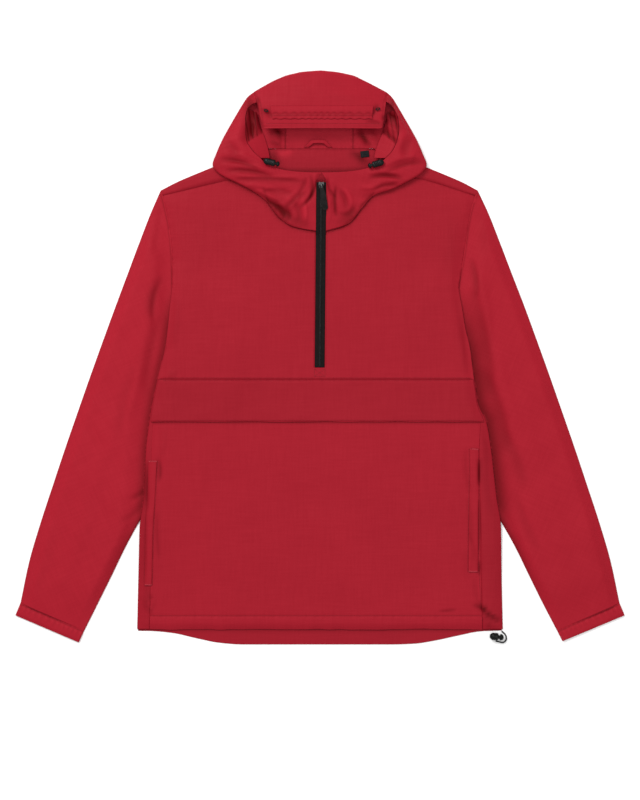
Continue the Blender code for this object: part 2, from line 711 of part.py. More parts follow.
def build_edge_facings():
    for side, table in FACINGS.items():
        sections = hood_side_rows(side)
        rows = []
        for facing in table:
            edge = Vector(sections[facing.row][-1])
            inner = Vector((facing.x, facing.y, facing.z))
            start = edge + (inner - edge).normalized() * (GAP + SEAM)
            rows.append([start.lerp(inner, s) for s in (0.0, 0.35, 0.7, 1.0)])
        cloth("edge_facing_" + side, rows)


# ---------------------------------------------------------------- small sewn pieces
def flat_solid(name, outline, low, high, finish, hole=None):
    """Upright solid over a flat outline, with one hole where it is given."""
    bm = bmesh.new()
    loops = [outline] + ([hole] if hole else [])
    for loop in loops:
        verts = [bm.verts.new((x * MM, y * MM, low * MM)) for x, y in loop]
        for a, b in zip(verts, verts[1:] + verts[:1]):
            bm.edges.new((a, b))
    bmesh.ops.triangle_fill(bm, use_beauty=True, edges=bm.edges[:])
    made = bmesh.ops.extrude_face_region(bm, geom=bm.faces[:])["geom"]
    top = [item for item in made if isinstance(item, bmesh.types.BMVert)]
    bmesh.ops.translate(bm, verts=top, vec=(0, 0, (high - low) * MM))
    bmesh.ops.recalc_face_normals(bm, faces=bm.faces)
    return mesh_object(name, bm, finish)


def build_hanging_loop():
    foot = NECK_BACK_Y + 2
    low = WALL + GAP
    outline = [(-24, foot), (-17.5, foot), (-9.5, 320.8), (4.5, 320.8), (12.5, foot),
               (18.6, foot), (7.2, 325.4), (-12.2, 325.4)]
    flat_solid("hanging_loop", outline, low, low + WALL, "red nylon")


def build_neck_label():
    low = WALL + GAP
    outline = [(61.5, 299.6), (74, 301.2), (72.8, 310.6), (60.3, 309)]
    flat_solid("neck_label", outline, low, low + 1.0, "black label")


# ---------------------------------------------------------------- zip
def zip_height(y):
    """Middle surface of the zip tape: on the chest, then up the collar."""
    front = HOOD_SIDES["right"][-1]
    start = front.fold_y + front.radius + WALL / 2
    low = FRONT_Z + WALL / 2 + GAP + WALL / 2 + 2 * front.radius
    s = min(max((y - start) / (front.edge_y - start), 0.0), 1.0)
    on_collar = curve_height(low, front.crest, front.edge_z, s)
    return mix(FRONT_Z, on_collar, smooth(180, start + 3, y))


def build_zip_tape():
    stations = [ZIP_BOTTOM_Y + SEAM, 40, 100, 150, 178, 183, 188, 193, 200, 215, 230, 245,
                ZIP_TOP_Y]
    rows = [[(zip_x(y) + offset * ZIP_HALF, y, zip_height(y)) for offset in (-1, 0, 1)]
            for y in stations]
    cloth("zip_tape", rows, finish="black tape")


def box_bmesh(size, centre):
    bm = bmesh.new()
    bmesh.ops.create_cube(bm, size=1)
    bmesh.ops.scale(bm, verts=bm.verts, vec=Vector(size) * MM)
    bmesh.ops.translate(bm, verts=bm.verts, vec=Vector(centre) * MM)
    return bm


def zip_tilt(y):
    return math.atan2(zip_height(y + 4) - zip_height(y - 4), 8)


def slider_foot():
    """Middle of the slider's underside, clear of the tape."""
    return Vector((zip_x(SLIDER_Y), SLIDER_Y, zip_height(SLIDER_Y) + WALL / 2 + GAP + 0.05))


def build_zip_slider():
    width, length, height = SLIDER_SIZE
    outline = [(-width * 0.36, -length / 2), (width * 0.36, -length / 2),
               (width / 2, length * 0.1), (width * 0.42, length / 2), (0.8, length * 0.42),
               (-0.8, length * 0.42), (-width * 0.42, length / 2), (-width / 2, length * 0.1)]
    body = flat_solid("zip_slider", outline, 0, height, "grey zinc")
    bridge_bm = box_bmesh(BRIDGE_SIZE, (0, 0, height - 0.4 + BRIDGE_SIZE[2] / 2))
    bridge = mesh_object("bridge", bridge_bm, "grey zinc")
    tunnel_length, tunnel_height = BRIDGE_TUNNEL
    tunnel_bm = box_bmesh((6, tunnel_length, tunnel_height), (0, 0, height + tunnel_height / 2))
    tunnel = mesh_object("tunnel", tunnel_bm, "grey zinc")
    for tool in (bridge, tunnel):
        tool.hide_render = True
        tool.display_type = "WIRE"
    for tool, operation in ((bridge, "UNION"), (tunnel, "DIFFERENCE")):
        boolean = body.modifiers.new(tool.name, "BOOLEAN")
        boolean.operation = operation
        boolean.object = tool
        boolean.solver = "EXACT"
    for item in (body, bridge, tunnel):
        item.location = slider_foot() * MM
        item.rotation_euler = (zip_tilt(SLIDER_Y), 0, 0)


def pull_axis():
    tilt = Matrix.Rotation(zip_tilt(SLIDER_Y), 3, "X")
    return slider_foot() + tilt @ Vector((0, 0, SLIDER_SIZE[2] + PULL_AXIS_LIFT))


def build_zip_pull():
    """Tab with a window at its upper end, whose end bar lies under the slider's bridge."""
    half_top = 3.2
    half_end = 4.5
    outline = [(-half_top, 0.6), (half_top, 0.6), (half_top, -6.5), (half_end, -15),
               (half_end, -PULL_LENGTH + 3.4), (half_end - 1.2, -PULL_LENGTH + 0.9),
               (half_end - 3, -PULL_LENGTH), (-half_end + 3, -PULL_LENGTH),
               (-half_end + 1.2, -PULL_LENGTH + 0.9), (-half_end, -PULL_LENGTH + 3.4),
               (-half_end, -15), (-half_top, -6.5)]
    window = [(-1.75, -0.6), (-1.75, -4.6), (1.75, -4.6), (1.75, -0.6)]
    pull = flat_solid("zip_pull", outline, -PULL_WALL / 2, PULL_WALL / 2, "black plastic", window)
    pull.location = pull_axis() * MM
    pull.rotation_euler = (math.radians(PULL_DROP), 0, math.radians(PULL_SWING))


# ---------------------------------------------------------------- cord locks and elastic
def turned_solid(name, profile, flatness, finish):
    """Solid of revolution about X from (x, radius) points that start and end on the axis."""
    bm = bmesh.new()
    verts = [bm.verts.new((x * MM, 0, r * MM)) for x, r in profile]
    for a, b in zip(verts, verts[1:]):
        bm.edges.new((a, b))
    bmesh.ops.spin(bm, geom=bm.verts[:] + bm.edges[:], cent=(0, 0, 0), axis=(1, 0, 0),
                   angle=math.tau, steps=LOCK_SIDES, use_merge=True)
    bmesh.ops.remove_doubles(bm, verts=bm.verts, dist=1e-7)
    bmesh.ops.scale(bm, verts=bm.verts, vec=(1, 1, flatness))
    bmesh.ops.recalc_face_normals(bm, faces=bm.faces)
    return mesh_object(name, bm, finish)


def build_cord_lock(name, lock):
    length = lock.barrel_length
    radius = lock.barrel_radius
    bore = radius * 0.56
    floor = length * (1 - BORE_DEPTH)
    barrel = [(0, 0), (0, radius * 0.45), (1.0, radius * 0.8), (3.2, radius),
              (length - 2.0, radius), (length - 0.5, radius * 0.9), (length, bore + 1.0),
              (length, bore), (floor, bore), (floor, 0)]
    stem = bore - 0.4
    head = length + BUTTON_TRAVEL + GAP
    head_end = head + lock.head_length
    button = [(floor + BUTTON_TRAVEL + 2 * GAP, 0), (floor + BUTTON_TRAVEL + 2 * GAP, stem),
              (head, stem), (head, radius * 0.72), (head + 0.5, radius * 0.82),
              (head_end - 1.2, radius * 0.74), (head_end, radius * 0.4), (head_end, 0)]
    middle = head_end / 2
    for node, profile in ((name, barrel), (name + "_button", button)):
        shifted = [(x - middle, r) for x, r in profile]
        item = turned_solid(node, shifted, lock.flatness, "black plastic")
        item.location = Vector((lock.x, lock.y, lock.z)) * MM
        item.rotation_euler = (0, 0, math.radians(lock.heading))


def smooth_route(points, per_span):
    """Points of a Catmull-Rom curve through the route."""
    ends = [2 * Vector(points[0]) - Vector(points[1])]
    ends += [Vector(p) for p in points]
    ends += [2 * Vector(points[-1]) - Vector(points[-2])]
    out = []
    for a, b, c, d in zip(ends, ends[1:], ends[2:], ends[3:]):
        for step in range(per_span):
            t = step / per_span
            out.append(0.5 * (2 * b + (c - a) * t + (2 * a - 5 * b + 4 * c - d) * t * t
                              + (3 * b - a - 3 * c + d) * t ** 3))
    return out + [Vector(points[-1])]


def build_hem_elastic():
    curve = bpy.data.curves.new("hem_elastic", "CURVE")
    curve.dimensions = "3D"
    curve.bevel_depth = ELASTIC_DIAMETER / 2 * MM
    curve.bevel_resolution = 2
    curve.use_fill_caps = True
    points = smooth_route(ELASTIC_ROUTE, 1)
    spline = curve.splines.new("POLY")
    spline.points.add(len(points) - 1)
    for target, point in zip(spline.points, points):
        target.co = (*(point * MM), 1)
    add_object("hem_elastic", curve, "black elastic")


# ---------------------------------------------------------------- the whole garment
def main():
    clear_scene()
    build_back_panel()
    build_front_chest()
    build_front_lower()
    build_chest_flap()
    build_welts()
    for side in ("right", "left"):
        build_sleeve(side)
    build_hood()
    build_brim_channel()
    build_brim_eyelets()
    build_edge_facings()
    build_hanging_loop()
    build_neck_label()
    build_zip_tape()
    build_zip_slider()
    build_zip_pull()
    for name, lock in LOCKS.items():
        build_cord_lock(name, lock)
    build_hem_elastic()


main()
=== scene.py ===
"""Half-zip anorak pullover in light woven nylon, laid flat on its back with the hood up.

Metres, +Z up.  The garment lies on z = 0 with its front facing up and the hood towards +Y.
The wearer's left side is at +X.  Tables and helpers work in millimetres and are scaled by MM.
Every cloth piece is a thin shell on the middle surface of its solid, with its folds laid in.
"""
import math
from collections import namedtuple

import bmesh
import bpy
import numpy as np
from mathutils import Matrix, Vector
from mathutils.bvhtree import BVHTree


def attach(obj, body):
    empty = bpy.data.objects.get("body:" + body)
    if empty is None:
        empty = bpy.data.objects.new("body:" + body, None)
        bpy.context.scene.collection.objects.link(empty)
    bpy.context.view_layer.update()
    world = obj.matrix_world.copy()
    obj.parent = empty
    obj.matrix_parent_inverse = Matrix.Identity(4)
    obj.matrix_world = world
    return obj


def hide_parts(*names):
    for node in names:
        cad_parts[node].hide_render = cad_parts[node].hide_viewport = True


bl_info = {
    "name": "Anorak pullover",
    "version": (1, 0, 0),
    "blender": (4, 5, 0),
    "location": "View3D > Sidebar > Anorak",
    "description": "Builds a half-zip anorak pullover, laid flat, over its packed frame",
    "category": "Object",
}

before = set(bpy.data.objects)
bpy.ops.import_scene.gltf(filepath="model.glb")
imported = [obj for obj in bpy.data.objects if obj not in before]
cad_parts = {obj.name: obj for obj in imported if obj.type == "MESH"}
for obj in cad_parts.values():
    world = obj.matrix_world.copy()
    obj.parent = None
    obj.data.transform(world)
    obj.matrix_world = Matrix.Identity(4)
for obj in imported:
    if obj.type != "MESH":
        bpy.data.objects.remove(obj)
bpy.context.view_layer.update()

MM = 0.001


def table(kind, rows):
    """Rows of plain numbers as the named tuples of their kind."""
    return [kind(*row) for row in rows]


# ---------------------------------------------------------------- driving dimensions (mm)
WALL = 1.2              # thickness of every cloth wall
GAP = 0.3               # clearance between neighbouring pieces
SEAM = 0.4              # clearance along armhole and neck seams
BACK_Z = WALL / 2       # middle surface of what lies on the floor
LAYER = WALL + 0.6      # from the back layer's middle to the front layer's middle
FRONT_Z = BACK_Z + LAYER
ON_TOP = WALL + GAP     # from a panel's middle to the middle of a piece lying on it
FOLD = LAYER / 2        # radius of a pressed side fold
SLEEVE_TOP = 2 * WALL + 0.6 + GAP   # the body is this much higher where it covers a sleeve

HEM_Y = -407.0          # lower edge of the front
HEM_STITCH_Y = -386.6   # top of the hem tunnel
TAIL_Y = -430.0         # lowest point of the dropped back hem
FLAP_TOP_Y = -32.4
FLAP_BOTTOM_Y = -96.0
POCKET_TOP_Y = -46.0    # upper edge of the lower front, under the flap
ZIP_BOTTOM_Y = -15.0
ZIP_TOP_Y = 261.5
ZIP_HALF = 7.15         # half the width of the zip tape
SHOULDER_Y = 249.5      # height of the shoulder tip
STRAIGHT_Y = 150.0      # rows above this bend up to the neck and shoulders
NECK_BACK_Y = 313.1     # back neck seam
UNDERARM_Y = 105.0      # where the armhole seam goes under the body
HOOD_TOP_Y = 430.0

# Rows of the body panels, hem to shoulder.
LEVELS = [HEM_Y, HEM_STITCH_Y, -345, -300, -255, -210, -170, -136, FLAP_BOTTOM_Y, -70,
          POCKET_TOP_Y, FLAP_TOP_Y, ZIP_BOTTOM_Y, 15, 45, 75, UNDERARM_Y, 127, STRAIGHT_Y,
          175, 200, 224, SHOULDER_Y]

# Folded side edges and the side seams that lie in front of them.
Side = namedtuple("Side", "y right_edge right_seam left_seam left_edge")
BODY_SIDES = table(Side, [
    (-430, -274.0, -255.0, 243.0, 274.0), (HEM_Y, -274.0, -255.0, 243.0, 274.0),
    (-345, -272.7, -254.0, 241.5, 272.6), (-255, -270.2, -253.0, 240.0, 271.2),
    (-210, -264.0, -252.5, 239.0, 264.5), (-136, -260.5, -252.0, 238.0, 256.0),
    (FLAP_BOTTOM_Y, -255.5, -250.0, 240.0, 249.0), (-70, -251.5, -246.0, 231.0, 237.0),
    (FLAP_TOP_Y, -243.5, -238.5, 226.0, 230.8), (15, -231.8, -227.0, 219.5, 224.5),
    (45, -228.0, -223.5, 213.0, 217.5), (UNDERARM_Y, -222.0, -217.0, 203.0, 208.0),
    (STRAIGHT_Y, -222.4, -214.0, 207.0, 215.8),
])

# Armhole seam from the underarm up to the shoulder tip.
Armhole = namedtuple("Armhole", "y right left")
ARMHOLES = table(Armhole, [
    (UNDERARM_Y, -222.0, 208.0), (127, -222.0, 211.6), (STRAIGHT_Y, -222.4, 215.8),
    (175, -224.2, 219.5), (200, -227.5, 223.2), (224, -232.5, 228.0), (SHOULDER_Y, -239.4, 237.0),
])

# Top ends of the body columns, from the armhole to the zip: the front ends at the forward
# shoulder seam and the neck seam, the back at the shoulder fold and the back neck seam.
Column = namedtuple("Column", "x front_y back_y", defaults=[NECK_BACK_Y])
COLUMNS = {
    "right": table(Column, [
        (-239.4, 242.3, SHOULDER_Y), (-215, 247.5, 262.0), (-180, 255.9, 276.9),
        (-130, 268.0, 297.0), (-88, 277.0, 314.7), (-78, 231.0), (-61, 210.0), (-40, 196.0),
        (-5.5, 189.6),
    ]),
    "left": table(Column, [
        (237.0, 241.5, SHOULDER_Y), (213, 248.6, 262.2), (180, 259.4, 276.3), (130, 273.0, 296.4),
        (88, 280.0, 314.0), (78, 243.0), (63, 226.0), (42, 201.0), (9.6, 189.5),
    ]),
}

# Dropped back hem.
TAIL = [(-274, -409.5), (-235, -410), (-200, -417), (-164, -426), (-128, TAIL_Y), (0, TAIL_Y),
        (123, TAIL_Y), (155, -428), (205, -417), (249, -409), (274, -409)]

# Sleeves: outer and inner folds, shoulder to wrist.  The upper inner fold is under the body.
SLEEVE_OUTER = {
    "right": [(-239.4, SHOULDER_Y), (-258, 206.6), (-280.5, 146.6), (-303, 86.6), (-336, -3.5),
              (-357, -63.5), (-378, -123.5), (-408, -213.5), (-427.5, -273.5), (-445, -339),
              (-449, -367)],
    "left": [(237, SHOULDER_Y), (257, 206.6), (279.5, 146.6), (303, 86.6), (336, -3.5),
             (357, -63.5), (378, -123.5), (408, -213.5), (427.5, -273.5), (445.5, -342),
             (449, -367)],
}
SLEEVE_INNER = {
    "right": [(-157, 40), (-172, -40), (-205, -130), (-240, -200), (-270, -245), (-287, -275),
              (-316, -335), (-353, -409)],
    "left": [(150, 40), (168, -40), (204, -130), (240, -200), (271, -246), (288, -275),
             (329, -359), (355, -409)],
}
UNDERARM_BEND = {"right": (-203, 66), "left": (190, 66)}
CUFF_END = {"right": ((-457, -386), (-361, -427)), "left": ((457, -386), (363, -425))}
SLEEVE_RINGS = 12
SLEEVE_CLEAR = 0.6      # between a sleeve's two layers
CUFF_WALL = 1.4
CUFF_CLEAR = 0.3

# Hood side panels with their collar halves, from the centre panel's seam round to the zip.
# base is on the neck seam, fold is the outline, edge is the edge of the opening.
HoodRow = namedtuple("HoodRow", "base_x base_y fold_x fold_y edge_x edge_y radius crest edge_z")
HOOD_SIDES = {
    "right": table(HoodRow, [
        (-52.3, 313.9, -99.5, 397.6, -95.0, 381.5, 5.0, 14.9, 17.3),
        (-58, 314.5, -108, 391, -102, 378, 4.0, 13.0, 15.5),
        (-64, 315.5, -118, 376.5, -108.5, 371, 3.4, 12.0, 14.0),
        (-70, 316.5, -128, 359.5, -111.5, 356, 4.0, 15.5, 14.5),
        (-76, 316.5, -138, 342.0, -111.5, 340, 4.5, 17.0, 15.0),
        (-81, 313, -147.5, 323.5, -110, 324, 5.0, 18.0, 15.5),
        (-85, 306, -155, 306.0, -101, 309, 5.0, 18.0, 15.5),
        (-88, 296, -161, 288.0, -89, 297.5, 4.6, 17.5, 15.0),
        (-88, 284, -152, 275.5, -80, 288.0, 4.0, 17.0, 14.5),
        (-87, 270, -124, 261.0, -68, 283.5, 4.0, 15.0, 15.0),
        (-85, 253, -98, 247.0, -55, 280.0, 3.4, 14.0, 15.5),
        (-72, 239, -79, 232.0, -42, 278.0, 2.2, 12.5, 15.5),
        (-55, 216, -61.5, 209.6, -28, 276.8, 1.6, 11.5, 15.5),
        (-36, 203, -40, 195.8, -15, 276.2, 1.3, 11.0, 15.5),
        (-5.4, 197, -5.4, 189.4, -4.8, 276, 1.2, 11.0, 15.5),
    ]),
    "left": table(HoodRow, [
        (49.8, 313.9, 101.4, 396.8, 99.1, 381.5, 5.0, 14.9, 17.3),
        (56, 314.5, 108, 390, 104, 378, 4.0, 13.0, 15.5),
        (62, 315.5, 116.5, 376.5, 111.5, 369, 3.4, 12.0, 14.0),
        (69, 316.5, 126.5, 359.5, 117, 355, 3.6, 14.5, 14.5),
        (76, 316.5, 136.5, 342.0, 118, 338, 4.2, 16.0, 15.0),
        (81, 313, 146, 323.5, 115, 323, 5.0, 18.0, 15.5),
        (85, 306, 153.5, 306.0, 108, 308, 5.0, 18.0, 15.5),
        (88, 296, 160, 288.0, 98, 297.5, 4.6, 17.5, 15.0),
        (88, 284, 154, 277.5, 87, 288.0, 4.0, 17.0, 14.5),
        (87, 272, 133, 264.0, 74, 283.5, 4.0, 15.0, 15.0),
        (85, 259, 107, 251.5, 60, 280.0, 3.4, 14.0, 15.5),
        (74, 247, 81, 242.5, 47, 278.0, 2.2, 12.5, 15.5),
        (57, 229, 63.5, 224.4, 33, 276.8, 1.6, 11.5, 15.5),
        (38.5, 207, 42.5, 200.2, 20, 276.2, 1.3, 11.0, 15.5),
        (9.7, 197, 9.7, 189.4, 10.2, 276, 1.2, 11.0, 15.5),
    ]),
}
COLLAR_TOP_X = 2.6      # where the two collar halves meet above the slider

# Crown outline of the centre panel and its brim.
CROWN = [(-99, 398), (-87, 405), (-72, 413.5), (-51, 422.5), (-27, 428), (0, HOOD_TOP_Y),
         (27, 427.5), (50, 422.5), (69, 413.5), (85.5, 405), (100.8, 397)]
HOOD_BACK_X = (-51.9, 49.4)
BRIM_X = (-84.0, 93.0)
BRIM_Y = 345.6
CROWN_RADIUS = (5.0, 6.2)     # at the seams and in the middle
CROWN_CREST = (24.0, 27.0)
BRIM_Z = (20.0, 22.5)
CENTRE_COLUMNS = 10

# Facings that show inside the edges of the hood opening: inner edge by row of the side panel.
Facing = namedtuple("Facing", "row x y z")
FACINGS = {
    "right": table(Facing, [
        (2, -94.5, 367, 7.5), (3, -91, 352, 7.0), (4, -86, 338, 6.6), (5, -81, 323, 6.4),
        (6, -77, 308, 6.6), (7, -75.5, 298.5, 8.0),
    ]),
    "left": table(Facing, [
        (2, 101, 366, 7.5), (3, 98.5, 352, 7.0), (4, 94, 338, 6.6), (5, 88, 323, 6.4),
        (6, 83, 308, 6.6), (7, 81, 298.5, 8.0),
    ]),
}


# Side pocket welts: middle line and width by height.
Welt = namedtuple("Welt", "y x width")
WELTS = {
    "right": table(Welt, [
        (-154.5, -250.5, 13), (-210, -253.0, 12), (-255, -255.5, 11.5), (-300, -256.5, 11),
        (-341, -257.5, 11),
    ]),
    "left": table(Welt, [
        (-136, 230.5, 13), (-170, 231.0, 13), (-210, 230.5, 13.5), (-255, 230.0, 14),
        (-300, 229.5, 14), (-321, 229.5, 14),
    ]),
}

# Cord locks: a barrel with a sprung button, both turned, then flattened.
Lock = namedtuple("Lock", "x y z heading barrel_length barrel_radius flatness head_length")
LOCKS = {
    "hood_lock_right": Lock(-72.0, 290.3, 19.9, -14.0, 17.5, 4.9, 0.72, 4.2),
    "hood_lock_left": Lock(83.3, 288.0, 20.4, 196.0, 17.5, 4.9, 0.72, 4.2),
    "hem_lock": Lock(264.6, -418.0, 5.4, -6.0, 12.6, 5.6, 0.9, 5.4),
}
BUTTON_TRAVEL = 2.4
BORE_DEPTH = 0.6        # of the barrel's length

# Elastic loop at the hem, from the tunnel round into the lock.
ELASTIC_ROUTE = [(272.4, -410.2, 1.6), (274.6, -412.0, 1.6), (277.2, -414.4, 1.7),
                 (278.9, -418.0, 1.8), (279.2, -421.8, 1.9), (277.6, -425.0, 2.0),
                 (274.6, -426.9, 2.2), (271.2, -426.7, 2.4), (268.2, -425.8, 2.8),
                 (265.4, -425.0, 3.4), (263.4, -424.8, 3.6)]
ELASTIC_DIAMETER = 2.2

# Adjuster channel on the brim: its two edges and the pucker between them.
CHANNEL_LOW_Y = 359.0
CHANNEL_TOP_Y = 376.5
CHANNEL_PUCKER_Y = 366.2

# Zip slider and pull tab.
SLIDER_Y = 257.5
SLIDER_SIZE = (8.6, 9.6, 2.6)
BRIDGE_WIDTH = 2.0
PULL_AXIS_LIFT = 1.35
PULL_SWING = 9.5        # degrees towards the wearer's left
PULL_DROP = 10.0        # degrees below level
PULL_LENGTH = 38.0
PULL_WALL = 1.2


# ---------------------------------------------------------------- small helpers
def mix(a, b, t):
    return a + (b - a) * t


def smooth(low, high, value):
    t = min(max((value - low) / (high - low), 0.0), 1.0)
    return t * t * (3 - 2 * t)


def along(points, value):
    """Read y from a table of (x, y) pairs sorted by x."""
    if value <= points[0][0]:
        return points[0][1]
    for (x0, y0), (x1, y1) in zip(points, points[1:]):
        if value <= x1:
            return mix(y0, y1, (value - x0) / (x1 - x0))
    return points[-1][1]


def side_of(x):
    return "right" if x < 0 else "left"


def side_x(field, y):
    return along([(row.y, getattr(row, field)) for row in BODY_SIDES], y)


def armhole_x(side, y):
    return along([(row.y, getattr(row, side)) for row in ARMHOLES], y)


def path_point(points, fraction):
    """Point at a fraction of the length of a polyline."""
    steps = [math.dist(a, b) for a, b in zip(points, points[1:])]
    target = fraction * sum(steps)
    for a, b, step in zip(points, points[1:], steps):
        if target <= step:
            return [mix(p, q, target / step) for p, q in zip(a, b)]
        target -= step
    return list(points[-1])


def distance_to_polygon(x, y, corners):
    """Distance outside a closed outline, and zero inside it."""
    point = Vector((x, y))
    inside = False
    nearest = math.inf
    for a, b in zip(corners, corners[1:] + corners[:1]):
        if (a[1] > y) != (b[1] > y) and x < mix(a[0], b[0], (y - a[1]) / (b[1] - a[1])):
            inside = not inside
        start = Vector(a)
        run = Vector(b) - start
        t = min(max((point - start).dot(run) / run.length_squared, 0.0), 1.0)
        nearest = min(nearest, (start + run * t - point).length)
    return 0.0 if inside else nearest


HIDDEN_SLEEVES = {
    side: [(armhole_x(side, UNDERARM_Y), UNDERARM_Y), UNDERARM_BEND[side]]
          + SLEEVE_INNER[side][:5] + [(side_x(side + "_edge", -130), -130)]
    for side in ("right", "left")
}
LIFT_MARGIN = 30.0
LIFT_RAMP = 52.0


def lift(x, y):
    """Height of the body over the sleeve that lies under its side."""
    side = side_of(x)
    away = distance_to_polygon(x, y, HIDDEN_SLEEVES[side])
    over = 1 - smooth(LIFT_MARGIN, LIFT_MARGIN + LIFT_RAMP, away)
    return SLEEVE_TOP * over * (1 - smooth(108, STRAIGHT_Y, y))


def zip_x(y):
    return 2.0 - 2.5 * (ZIP_TOP_Y - y) / (ZIP_TOP_Y - ZIP_BOTTOM_Y)


# ---------------------------------------------------------------- forms of the cloth


def column_x(side, index, level, y):
    """Plan position of a body column: 0 at the edge, 1 at the seam, the last at the zip."""
    last = len(COLUMNS[side]) - 1
    inward = 1 if side == "right" else -1
    slot = zip_x(y) - inward * (ZIP_HALF + SEAM)
    if index == last:
        return slot
    if index == 0 and level > UNDERARM_Y:
        return armhole_x(side, y) + inward * SEAM
    if index == 0:
        return side_x(side + "_edge", y) + inward * SEAM
    seam = side_x(side + "_seam", min(level, STRAIGHT_Y))
    x = mix(seam, slot, (index - 1) / (last - 1))
    if level > STRAIGHT_Y:
        top = COLUMNS[side][index].x
        x = mix(x, top, (level - STRAIGHT_Y) / (SHOULDER_Y - STRAIGHT_Y))
    return x


def body_row(level, field, height, first=0):
    """One row of a body panel, from the wearer's right to the left."""
    row = []
    for side in ("right", "left"):
        half = []
        for index in range(first, len(COLUMNS[side])):
            y = level
            top = getattr(COLUMNS[side][index], field)
            if index == 0:
                y = min(level, top)
            elif level > STRAIGHT_Y:
                y = mix(STRAIGHT_Y, top, (level - STRAIGHT_Y) / (SHOULDER_Y - STRAIGHT_Y))
            x = column_x(side, index, level, y)
            half.append((x, y, height + lift(x, y)))
        row += half if side == "right" else half[::-1]
    return row


def fold_over(bm, picks, steps):
    """Extrude chosen border edges through the given moves, one fold after another."""
    edges = [edge for edge in bm.edges if edge.is_boundary and picks(edge)]
    for step in steps:
        made = bmesh.ops.extrude_edge_only(bm, edges=edges)["geom"]
        edges = [item for item in made if isinstance(item, bmesh.types.BMEdge)]
        for vert in {vert for edge in edges for vert in edge.verts}:
            vert.co = Vector(step(vert.co / MM)) * MM


def flat_ring(outer, inner, layer_points, wall, clear):
    """A pressed tube's ring: lower layer, inner fold, upper layer, outer fold."""
    radius = (wall + clear) / 2
    low = wall / 2
    run = (Vector(inner) - Vector(outer)).normalized()
    ring = [(p[0], p[1], low) for p in layer_points]
    tip = Vector(inner) - run * (wall / 2)
    ring.append((tip.x, tip.y, low + radius))
    ring += [(p[0], p[1], low + 2 * radius) for p in reversed(layer_points)]
    tip = Vector(outer) + run * (wall / 2)
    ring.append((tip.x, tip.y, low + radius))
    return ring


def layer_line(outer, inner, fractions, bend, wall, clear):
    """Points of one pressed layer, just inside its two folds, pushed sideways by bend."""
    start = Vector(outer)
    end = Vector(inner)
    run = (end - start).normalized()
    inset = (wall + clear) / 2 + wall / 2
    start += run * inset
    end -= run * inset
    return [start.lerp(end, f) + Vector(b) for f, b in zip(fractions, bend)]


def hood_rest(x, y):
    """Height of what the hood's lower layer lies on: the shoulders, or the floor."""
    shoulder = SHOULDER_Y + (239 - abs(x)) * 0.44
    on_body = 1 - smooth(25, 45, y - shoulder)
    beside_neck = max(smooth(60, 84, abs(x)), 1 - smooth(280, 305, y))
    return (FRONT_Z + WALL / 2 + GAP) * on_body * beside_neck


def curve_height(low, middle, high, s):
    return (1 - s) ** 2 * low + 2 * s * (1 - s) * middle + s * s * high


BOTTOM_STEPS = (0.0, 0.34, 0.67, 1.0)
FOLD_ANGLES = (-45, 0, 45)
TOP_STEPS = (0.0, 0.14, 0.32, 0.52, 0.7, 0.84, 1.0)


def hood_section(base, fold, edge, radius, crest, edge_z, turn=lambda p: p):
    """One section: out along the bottom layer, round the fold, back in over the top."""
    base = Vector(base)
    fold = Vector(fold)
    edge = Vector(edge)
    out = (fold - base).normalized()
    back = (edge - fold).normalized()
    reach = min(radius, 0.8 * (fold - base).length)
    low_end = fold - out * (reach + WALL / 2)
    points = []
    for s in BOTTOM_STEPS:
        p = turn(base.lerp(low_end, s))
        points.append((p.x, p.y, hood_rest(p.x, p.y) + BACK_Z))
    rest = points[-1][2]
    top_start = fold + back * (radius + WALL / 2)
    for angle in FOLD_ANGLES:
        turned = math.radians(angle)
        centre = low_end.lerp(top_start, (angle + 90) / 180)
        tip = fold - out * (WALL / 2)
        p = turn(centre.lerp(tip, math.cos(turned)))
        points.append((p.x, p.y, rest + radius * (1 + math.sin(turned))))
    for s in TOP_STEPS:
        p = turn(top_start.lerp(edge, s))
        points.append((p.x, p.y, curve_height(rest + 2 * radius, crest, edge_z, s)))
    return points


def hood_side_rows(side):
    slot = -1 if side == "right" else 1

    def close_above_zip(p):
        x = zip_x(p.y) + slot * (ZIP_HALF + SEAM)
        close = smooth(ZIP_TOP_Y + 1, 276, p.y)
        return Vector((mix(x, COLLAR_TOP_X + slot * GAP / 2, close), p.y))

    def section(row, *turn):
        return hood_section(row[0:2], row[2:4], row[4:6], row.radius, row.crest, row.edge_z, *turn)

    *others, last = HOOD_SIDES[side]
    return [section(row) for row in others] + [section(last, close_above_zip)]


def centre_section(t):
    """Section of the centre panel at a fraction t from the right seam to the left seam."""
    side = math.sin(math.pi * t)
    base = (mix(*HOOD_BACK_X, t), NECK_BACK_Y + SEAM + GAP)
    fold_x = mix(CROWN[0][0], CROWN[-1][0], t)
    fold = (fold_x, along(CROWN, fold_x))
    edge = (mix(*BRIM_X, t), BRIM_Y)
    return hood_section(base, fold, edge, mix(*CROWN_RADIUS, side), mix(*CROWN_CREST, side),
                        mix(*BRIM_Z, side))


def zip_height(y):
    """Middle surface of the zip tape: on the chest, then up the collar."""
    front = HOOD_SIDES["right"][-1]
    start = front.fold_y + front.radius + WALL / 2
    low = FRONT_Z + WALL / 2 + GAP + WALL / 2 + 2 * front.radius
    s = min(max((y - start) / (front.edge_y - start), 0.0), 1.0)
    on_collar = curve_height(low, front.crest, front.edge_z, s)
    return mix(FRONT_Z, on_collar, smooth(180, start + 3, y))


def zip_tilt(y):
    return math.atan2(zip_height(y + 4) - zip_height(y - 4), 8)


def slider_foot():
    """Middle of the slider's underside, clear of the tape."""
    return Vector((zip_x(SLIDER_Y), SLIDER_Y, zip_height(SLIDER_Y) + WALL / 2 + GAP + 0.05))


